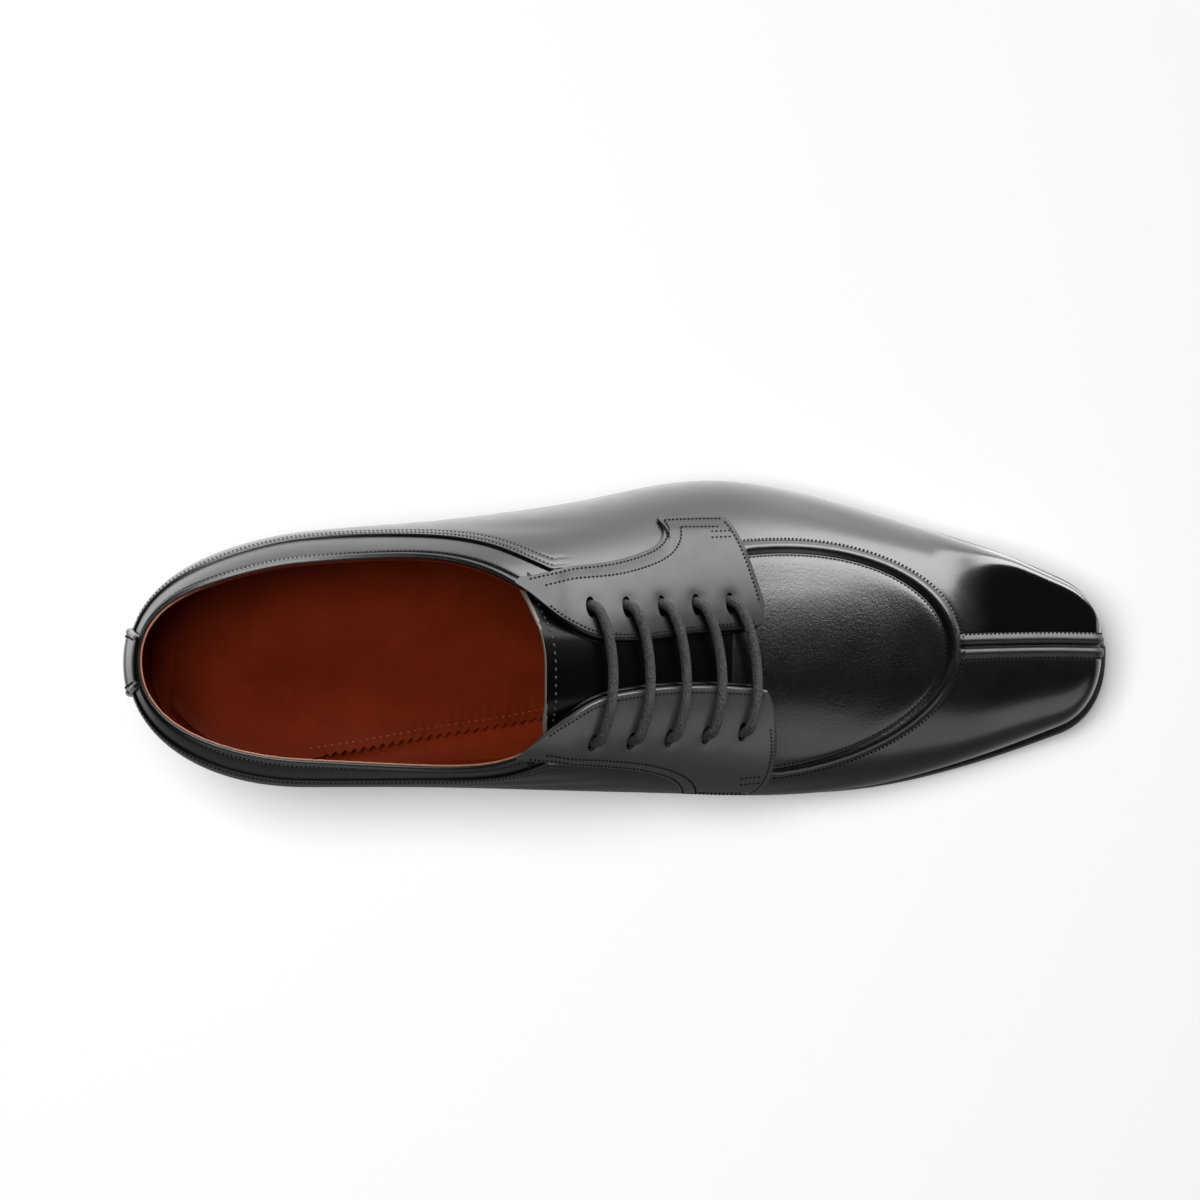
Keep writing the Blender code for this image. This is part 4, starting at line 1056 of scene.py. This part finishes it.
# sole: outlines a short way out from the feather edge
soleSizes = {
    "thick": 4.5, "weltLow": 4.9, "weltHigh": 7.5, "weltInset": 2.4, "columns": 640, "toeRun": 28.0,
    "heelBreast": 80.0, "breastLean": 3.0, "breastBow": 3.5, "heelSink": 0.4,
}


def ringOf(share, dimensions):
    # a loop round the last at one share, from the heel along the medial side, and its outward way
    turns = np.linspace(0, math.pi / 2, 60)
    toeStart = last["toeX"] - soleSizes["toeRun"]
    heel, middle = last["heelRun"] * (1 - np.cos(turns)), np.linspace(last["heelRun"], toeStart, 120)[1:]
    x = np.concatenate([heel, middle, toeStart + soleSizes["toeRun"] * np.sin(turns[1:])])
    halves = {side: lastPoint(x, share, side)[:, :dimensions] for side in (medial, lateral)}
    loop = np.concatenate([halves[medial], halves[lateral][-2:0:-1]])
    ahead = np.roll(loop, -1, axis=0) - np.roll(loop, 1, axis=0)
    outward = unit(np.stack([ahead[:, 1], -ahead[:, 0], 0 * ahead[:, 0]], -1)[:, :dimensions])
    return loop, outward


def closedRow(loop):
    return resample(np.concatenate([loop, loop[:1]]), soleSizes["columns"] + 1)[:-1]


def outline(welted, extra):
    loop, outward = ringOf(0.0, 2)
    move = np.full(len(loop), float(extra))
    if welted:
        onMedial = np.arange(len(loop)) <= len(loop) // 2
        reach = {side: read(weltReach, sideName(side), loop[:, 0]) for side in (medial, lateral)}
        move += np.where(onMedial, reach[medial], reach[lateral])
    return closedRow(loop + outward * move[:, None])


def level(loop, height):
    return np.column_stack([loop, soleHeight(loop[:, 0]) + height])


def middleOf(loop):
    # each point drawn to the middle between it and the one opposite
    return (loop + np.roll(loop[::-1], 1, axis=0)) / 2


def capRows(loop, steps):
    return [loop + (middleOf(loop) - loop) * s for s in np.linspace(0, 1, steps)[1:]]


def buildWelt():
    low, high, inset = soleSizes["weltLow"], soleSizes["weltHigh"], soleSizes["weltInset"]
    profile = ((False, -inset, low), (True, -0.5, low), (True, -0.05, low + 0.25), (True, 0.25, low + 0.9),
               (True, 0.3, (low + high) / 2), (True, 0.25, high - 0.9), (True, -0.05, high - 0.2),
               (True, -0.45, high), (False, 0.2, high - 0.1), (False, -inset, high))
    loops = np.stack([level(outline(welted, extra), height) for welted, extra, height in profile])
    place(gridPiece("welt", loops, True, True, None, [weltEdge], sharp=60), "black_sole", "welt")


def buildOutsole():
    profile = ((-1.4, 0.0), (-0.7, 0.12), (-0.2, 0.5), (0.12, 1.3), (0.2, 2.25), (0.12, 3.2), (-0.15, 4.0),
               (-0.4, 4.4), (-0.7, soleSizes["thick"]))
    loops = [level(outline(True, reach), height) for reach, height in profile]
    loops = capRows(loops[0], 7)[::-1] + loops + capRows(loops[-1], 5)
    rows = [1] * 6 + [0] * (len(loops) - 7)
    piece = gridPiece("outsole", np.stack(loops), False, True, None, [weltEdge, soleUnder], rows, sharp=50)
    place(piece, "black_sole", "outsole")


def cutAt(first, second, x):
    # the point between two neighbours that lies at x
    return first + (second - first) * (x - first[0]) / (second[0] - first[0])


def buildHeel():
    # stacked block: the top follows the sole, the foot is level
    loops = []
    profile = ((3.6, 0.0), (3.25, 0.012), (3.05, 0.05), (2.9, 0.12), (2.75, 0.215), (2.9, 0.232), (2.7, 0.25),
               (2.2, 0.38), (1.6, 0.55), (0.9, 0.75), (0.4, 0.9), (0.25, 0.985), (0.5, 1.0))
    bow = soleSizes["breastBow"] * np.sin(np.linspace(0, math.pi, 52))[1:-1]  # hollows the breast
    for inset, rise in profile:
        loop = outline(True, -inset)
        limit = soleSizes["heelBreast"] - soleSizes["breastLean"] * (1 - rise)
        keep = loop[:, 0] < limit
        start = int(np.argmin(keep))  # the loop begins at the heel's back on the medial side
        back = len(keep) - int(np.argmin(keep[::-1]))
        corners = [cutAt(loop[back - 1], loop[back], limit), cutAt(loop[start - 1], loop[start], limit)]
        ring = resample(np.concatenate([corners[:1], loop[back:], loop[:start], corners[1:]]), 150)
        flat = np.linspace(ring[-1], ring[0], 52)[1:-1] - np.stack([bow, 0 * bow], -1)
        ring = np.roll(np.concatenate([ring, flat]), -75, axis=0)
        top = soleHeight(ring[:, 0]) - soleSizes["heelSink"]
        loops.append(np.column_stack([ring, top * rise]))
    loops = capRows(loops[0], 5)[::-1] + loops + capRows(loops[-1], 4)
    rows = [1] * 4 + [0] * (len(loops) - 5)
    piece = gridPiece("heel", np.stack(loops), False, True, None, [soleEdge, soleUnder], rows, sharp=45)
    place(piece, "black_sole", "heel")


weltLook = {
    "color": (0.006, 0.006, 0.006), "dark": (0.005, 0.005, 0.005), "light": (0.014, 0.0135, 0.013),
    "roughness": 0.36, "notches": 620, "notchDeep": 0.35, "fleckScale": 900.0, "bump": 0.5, "depth": 0.00012,
}


def waveOf(tree, value):
    return mathNode(tree, "SINE", mathNode(tree, "MULTIPLY", value, 2 * math.pi), 0.0)


def weltFinish():
    # fine wheeled notches along the edge, on the outline's own UV
    made, tree, shader = newFinish("wheeledEdge", weltLook["color"], weltLook["roughness"])
    along = addNode(tree, "ShaderNodeSeparateXYZ", {"Vector": coordsOf(tree, "UV")}).outputs["X"]
    wave = waveOf(tree, mathNode(tree, "MULTIPLY", along, weltLook["notches"]))
    fleck = noiseOf(tree, coordsOf(tree), weltLook["fleckScale"])
    feed(tree, shader, "Base Color", colorMix(tree, fleck, weltLook["dark"], weltLook["light"]))
    height = mathNode(tree, "ADD", mathNode(tree, "MULTIPLY", wave, weltLook["notchDeep"]), fleck)
    feedBump(tree, shader, height, weltLook["bump"], weltLook["depth"])
    return made


weltEdge = weltFinish()
buildWelt()
buildOutsole()
buildHeel()

# insole with its leather sock, pinked along the arch
sockSizes = {
    "inset": 2.9, "foot": 4.9, "wallFoot": 9.0, "flatInset": 6.5, "flat": 11.3, "fillet": (0.55, 0.25, 0.0),
    "wall": ((0.045, 2.7), (0.075, 2.75), (0.06, 3.6)),  # share of the wall and how far inside it
    "top": 11.4, "gap": 0.15, "thick": 1.6, "endX": 214.0, "curl": 1.3, "curlRun": 6.0, "cup": 2.6,
    "heelX": 5.0, "heelGap": 6.0, "heelRun": 40.0, "heelEase": (10, 50), "heelRise": 2.2, "heelRiseRun": 22.0,
    "tooth": 2.9, "depth": 1.4, "pinkRun": (54, 60), "stitchIn": 3.4, "stitchRun": (52, 180),
}
sockEdge = table(  # how far the pinked edge lies inside the insole's medial edge
    ("x", "inset"), (5, 0.4), (40, 0.4), (58, 0.8), (75, 1.8), (95, 3.0), (117, 4.6), (130, 7.0),
    (150, 8.0), (214, 8.0),
)


def buildInsole():
    # its rim runs up the wall in a small fillet
    loops = [level(outline(False, -sockSizes["inset"]), sockSizes[height]) for height in ("foot", "wallFoot")]
    for share, inward in sockSizes["wall"]:
        loop, outward = ringOf(share, 3)
        loops.append(closedRow(loop - outward * inward))
    rim, flat = loops[-1], level(outline(False, -sockSizes["flatInset"]), sockSizes["flat"])
    loops += [flat + (rim - flat) * (up, up, up * up) for up in sockSizes["fillet"]]
    loops = capRows(loops[0], 5)[::-1] + loops + capRows(loops[-1], 8)
    finishRows = [1] * 7 + [0] * (len(loops) - 8)  # black where it faces the welt
    piece = gridPiece("insole", np.stack(loops), False, True, None, [lining, soleEdge], finishRows, sharp=70)
    place(piece, "tan_lining", "insole")


def sockEdges(x):
    # the insole's medial edge, drawn forward at the heel, and the width from there
    x = x - sockSizes["heelGap"] * (1 - ease(*sockSizes["heelEase"], x))
    edges = {side: lastPoint(x, 0.0, side)[..., 1] - side * sockSizes["inset"] for side in (lateral, medial)}
    return edges[medial], edges[lateral] - edges[medial]


def sockSurface(x, way):
    # cupped a little towards the walls
    start, wide = sockEdges(x)
    rise = sockSizes["cup"] * (np.abs(2 * way - 1) ** 5)
    nearHeel = np.clip(1 - (x - sockSizes["heelX"]) / sockSizes["heelRiseRun"], 0, 1)
    z = soleHeight(x) + sockSizes["top"] + sockSizes["gap"] + rise + sockSizes["heelRise"] * nearHeel ** 2
    return np.stack([x + 0 * way, start + wide * way, z], -1)


def buildSock():
    turns = np.linspace(0, math.pi / 2, 40)
    heel = sockSizes["heelX"] + sockSizes["heelGap"] + sockSizes["heelRun"] * (1 - np.cos(turns))
    x = np.concatenate([heel, np.arange(heel[-1] + 0.4, sockSizes["endX"], 0.42)])
    _, wide = sockEdges(x)
    phase = np.abs(((x / sockSizes["tooth"]) % 1) * 2 - 1)
    pinked = ease(*sockSizes["pinkRun"], x)
    start = (read(sockEdge, "inset", x) + sockSizes["depth"] * phase * pinked) / wide
    way = start + (1 - 0.3 / wide - start) * np.linspace(0, 1, 30)[:, None]
    top = sockSurface(x[None] + 0 * way, way)
    curl = sockSizes["curl"] * (1 - ease(0, sockSizes["curlRun"], (way - start) * wide))
    top[..., 2] += curl * pinked  # the pinked edge curls up
    low = top - (0, 0, sockSizes["thick"])
    # the cut edges take the near-black finish, a painted shadow line along the pinked edge
    piece = sheetPiece("sock", low, top + (0, 0, 0.05), [sockLeather, sockEdgeShade], rimFinish=1, sharp=45)
    place(piece, "tan_lining")
    rowX = np.linspace(*sockSizes["stitchRun"], 300)
    _, wide = sockEdges(rowX)
    path = sockSurface(rowX, (read(sockEdge, "inset", rowX) + sockSizes["stitchIn"]) / wide) + (0, 0, 0.42)
    up = np.tile((0.0, 0.0, 1.0), (len(path), 1))
    stitchPiece("sockStitches", [(seatedOn(piece, path, up), up)], "tan_lining", rustThread, pitch=2.2)


buildInsole()
buildSock()

# lace: one cord through all ten eyelets, straight bars on top, flat hidden legs under the facings
laceSizes = {
    "radius": 1.55, "over": 3.6, "under": -0.28, "bow": 5.0, "rise": 3.0, "dip": 0.65, "dipHalf": 10.0,
    "flat": 0.5, "wide": 1.25, "step": 0.7, "strands": 7.0, "crossings": 520.0,
}
laceLook = {
    "color": (0.02, 0.02, 0.021), "dark": (0.002, 0.002, 0.002), "light": (0.045, 0.044, 0.043),
    "roughness": 0.62, "specular": 0.3, "fuzzScale": 1500.0, "bump": 0.9, "depth": 0.0003,
}


def laceFinish():
    # round waxed cord: a fine braid on the tube's own UV
    made, tree, shader = newFinish("waxedLace", laceLook["color"], laceLook["roughness"])
    setSpecular(made, laceLook["specular"])
    strands = []
    for lean in (1, -1):
        scale = (laceSizes["strands"], lean * laceSizes["crossings"], 1)
        turned = addNode(tree, "ShaderNodeMapping", {"Vector": coordsOf(tree, "UV"), "Scale": scale})
        split = addNode(tree, "ShaderNodeSeparateXYZ", {"Vector": turned.outputs["Vector"]})
        strands.append(waveOf(tree, mathNode(tree, "ADD", split.outputs["X"], split.outputs["Y"])))
    braid = mathNode(tree, "MULTIPLY", *strands)
    fuzz = noiseOf(tree, coordsOf(tree), laceLook["fuzzScale"], 3.0, 0.7)
    shown = mathNode(tree, "ADD", span(tree, braid, 0.2, 0.8, -1, 1), span(tree, fuzz, 0, 1, 0.3, 0.7))
    tone = span(tree, shown, 0, 1, 0.5, 1.5)
    feed(tree, shader, "Base Color", colorMix(tree, tone, laceLook["dark"], laceLook["light"]))
    feedBump(tree, shader, shown, laceLook["bump"], laceLook["depth"])
    return made


def barPoints(index, start):
    # over the throat from one side's eyelet to the other's
    (fromX, fromY), (toX, toY) = ([row[index] for row in eyeletSpots(side)] for side in (lateral, medial))
    way = np.linspace(0, 1, 70)
    if start == medial:
        way = way[::-1]
    x = fromX * (1 - way) + toX * way + laceSizes["bow"] * 4 * way * (1 - way)
    offset = fromY * (1 - way) + toY * way
    up = np.sin(np.clip(np.minimum(fromY - offset, offset - toY) / laceSizes["rise"], 0, 1) * math.pi / 2)
    dip = laceSizes["dip"] * np.clip(1 - (offset / laceSizes["dipHalf"]) ** 2, 0, 1)
    lift = laceSizes["under"] + (laceSizes["over"] - laceSizes["under"]) * up - dip
    return x, offset, lift, np.ones_like(x)


def legPoints(side, first, second, aside):
    # under the facing from one eyelet to another
    spots = eyeletSpots(side)
    way = np.linspace(0, 1, 30)[1:-1]
    x = spots[0][first] + (spots[0][second] - spots[0][first]) * way
    offset = spots[1][first] + aside * side * np.sin(way * math.pi) ** 0.7
    full = 1 - ease(0.02, 0.2, way) * (1 - ease(0.8, 0.98, way))
    return x, offset, np.full_like(x, laceSizes["under"]), full


def laceRoute():
    # from the lateral top pair down one strand to the toe bar and up the other
    parts = [
        barPoints(1, lateral), legPoints(medial, 1, 3, 1.7),
        barPoints(3, medial), legPoints(lateral, 3, 4, 0.6),
        barPoints(4, lateral), legPoints(medial, 4, 2, -1.9),
        barPoints(2, medial), legPoints(lateral, 2, 0, 0.8),
        barPoints(0, lateral),
    ]
    x, offset, lift, full = (np.concatenate(rows) for rows in zip(*parts))
    point, normal = planFrame(x, offset)
    return raised(point, normal, lift), normal, full


def buildLace():
    path, normal, full = laceRoute()
    run = runOf(path)
    at = np.arange(0, run[-1], laceSizes["step"])
    path, normal = (
        np.stack([np.interp(at, run, column) for column in rows.T], -1) for rows in (path, normal))
    full = np.interp(at, run, full)
    for _ in range(3):  # ease the turns
        path[1:-1] = (path[:-2] + 2 * path[1:-1] + path[2:]) / 4
    ahead = unit(np.gradient(path, axis=0))
    aside = np.cross(ahead, normal)
    clear = np.linalg.norm(aside, axis=1)
    for k in range(1, len(aside)):
        if clear[k] < 0.35:
            aside[k] = aside[k - 1]
        elif (aside[k] * aside[k - 1]).sum() < 0:
            aside[k] = -aside[k]
    for _ in range(4):
        aside[1:-1] = (aside[:-2] + aside[1:-1] + aside[2:]) / 3
    aside = unit(aside - ahead * (aside * ahead).sum(1, keepdims=True))
    other = np.cross(ahead, aside)
    turns = np.linspace(0, 2 * math.pi, 17)[:-1]
    aside, other = (
        (way * (laceSizes[key] + (1 - laceSizes[key]) * full)[:, None])[:, None]
        for way, key in ((aside, "wide"), (other, "flat")))
    swept = np.cos(turns)[None, :, None] * aside + np.sin(turns)[None, :, None] * other
    rings = path[:, None] + laceSizes["radius"] * swept
    ends = [np.repeat(path[k][None, None], len(turns), 1) for k in (0, -1)]
    rings = np.concatenate([ends[0], rings, ends[1]])
    piece = gridPiece("lace", rings, False, True, None, [laceFinish()], None, sharp=70)
    place(piece, "black_lace", *["lace_bar_%d" % (k + 1) for k in range(5)])
    print("lace length", round(float(at[-1])), "mm")


buildLace()

# studio: pale floor, a broad soft light on the lateral side, a weaker one opposite
studio = {
    "floor": (0.9, 0.9, 0.9), "floorSize": 6.0, "floorZ": -0.0002, "roughness": 0.9, "world": 0.01,
    "glow": (0.19, 1.0), "glowReach": (0.27, 0.6),  # painted light: how strongly the paper glows to the camera, near the shoe and far
    # painted reflection: the paper glows for glossy rays, strongly on the lateral side and faintly on the
    # medial, over a dark base colour, standing in for the key-lit paper in the leather
    "mirrored": (0.1, 2.1), "paintedReflectionY": (-0.06, 0.08), "paintedReflectionFloor": (0.05, 0.05, 0.05),
    "key": {"place": (0.78, 0.98, 0.55), "aim": (0.78, 0.0, 0.0), "size": (1.95, 1.1), "radiance": 9.2},
    "fill": {"place": (0.45, -1.2, 0.55), "aim": (0.1, 0.0, 0.05), "size": (2.2, 1.05), "radiance": 1.25},
    "ceiling": {"place": (-0.33, 0.12, 1.8), "aim": (-0.03, 0.0, 0.0), "size": (0.8, 0.8),
                "radiance": 16.0, "mirrored": False},
}


def addLight(name, look):
    lamp = bpy.data.lights.new(name, "AREA")
    lamp.shape = "RECTANGLE"
    lamp.size, lamp.size_y = look["size"]
    lamp.energy = look["radiance"] * math.pi * look["size"][0] * look["size"][1]
    light = bpy.data.objects.new(name, lamp)
    light.location = look["place"]
    light.rotation_euler = (Vector(look["aim"]) - Vector(look["place"])).to_track_quat("-Z", "Y").to_euler()
    light.visible_camera = False
    light.visible_glossy = look.get("mirrored", True)
    bpy.context.scene.collection.objects.link(light)


def paperFinish():
    # painted light: the paper glows white to the camera far from the shoe, less near it, and for glossy rays
    # it glows only on its lateral side, a painted reflection in the leather
    made, tree, shader = newFinish("palePaper", studio["floor"], studio["roughness"])
    shader.inputs["Emission Color"].default_value = (1, 1, 1, 1)
    spot = {"Vector": coordsOf(tree)}
    reach = addNode(tree, "ShaderNodeVectorMath", spot, operation="LENGTH").outputs["Value"]
    aside = addNode(tree, "ShaderNodeSeparateXYZ", spot).outputs["Y"]
    rays = addNode(tree, "ShaderNodeLightPath").outputs
    glow = span(tree, reach, *studio["glow"], *studio["glowReach"])
    mirrored = span(tree, aside, *studio["mirrored"], *studio["paintedReflectionY"])
    seen = mathNode(tree, "MULTIPLY", glow, rays["Is Camera Ray"])
    mirrored = mathNode(tree, "MULTIPLY", mirrored, rays["Is Glossy Ray"])
    feed(tree, shader, "Emission Strength", mathNode(tree, "ADD", seen, mirrored))
    base = colorMix(tree, rays["Is Glossy Ray"], studio["floor"], studio["paintedReflectionFloor"])
    feed(tree, shader, "Base Color", base)
    return made


bpy.ops.object.select_all(action="DESELECT")
bpy.ops.mesh.primitive_plane_add(size=studio["floorSize"], location=(0, 0, studio["floorZ"]))
bpy.ops.object.transform_apply(location=True, rotation=False, scale=False)
floor = bpy.context.object
floor.name = "floor"
floor.data.materials.append(paperFinish())
for name in ("key", "fill", "ceiling"):
    addLight(name, studio[name])
# the side lights leave the paper to the ceiling light, so that its shadow stays close to the shoe
unlit = bpy.data.collections.new("paperOnly")
unlit.objects.link(floor)
unlit.collection_objects[0].light_linking.link_state = "EXCLUDE"
for name in ("key", "fill"):
    bpy.data.objects[name].light_linking.receiver_collection = unlit
world = bpy.data.worlds.new("studioWorld")
world.use_nodes = True
# the backdrop is white to look at, while the room round the lights is dark
backdrop = world.node_tree.nodes["Background"]
backdrop.inputs["Color"].default_value = (1, 1, 1, 1)
seen = addNode(world.node_tree, "ShaderNodeLightPath").outputs["Is Camera Ray"]
feed(world.node_tree, backdrop, "Strength", span(world.node_tree, seen, studio["world"], 1.0))
bpy.context.scene.world = world
bpy.context.scene.view_settings.view_transform = "Standard"

# camera nearly straight above, tipped 2 degrees to the medial side
camera = {
    "target": (-0.00755, 0.01187, 0.036), "distance": 1.1, "tip": 2.0,
    "lens": 106.9, "sensor": 36, "clipEnd": 20,
}
lens = bpy.data.cameras.new("camera")
lens.lens, lens.sensor_width, lens.clip_end = camera["lens"], camera["sensor"], camera["clipEnd"]
view = bpy.data.objects.new("camera", lens)
tip = math.radians(camera["tip"])
view.location = Vector(camera["target"]) + Vector((0, -math.sin(tip), math.cos(tip))) * camera["distance"]
view.rotation_euler = (tip, 0, 0)
bpy.context.scene.collection.objects.link(view)
bpy.context.scene.camera = view
print("studio and camera ready")
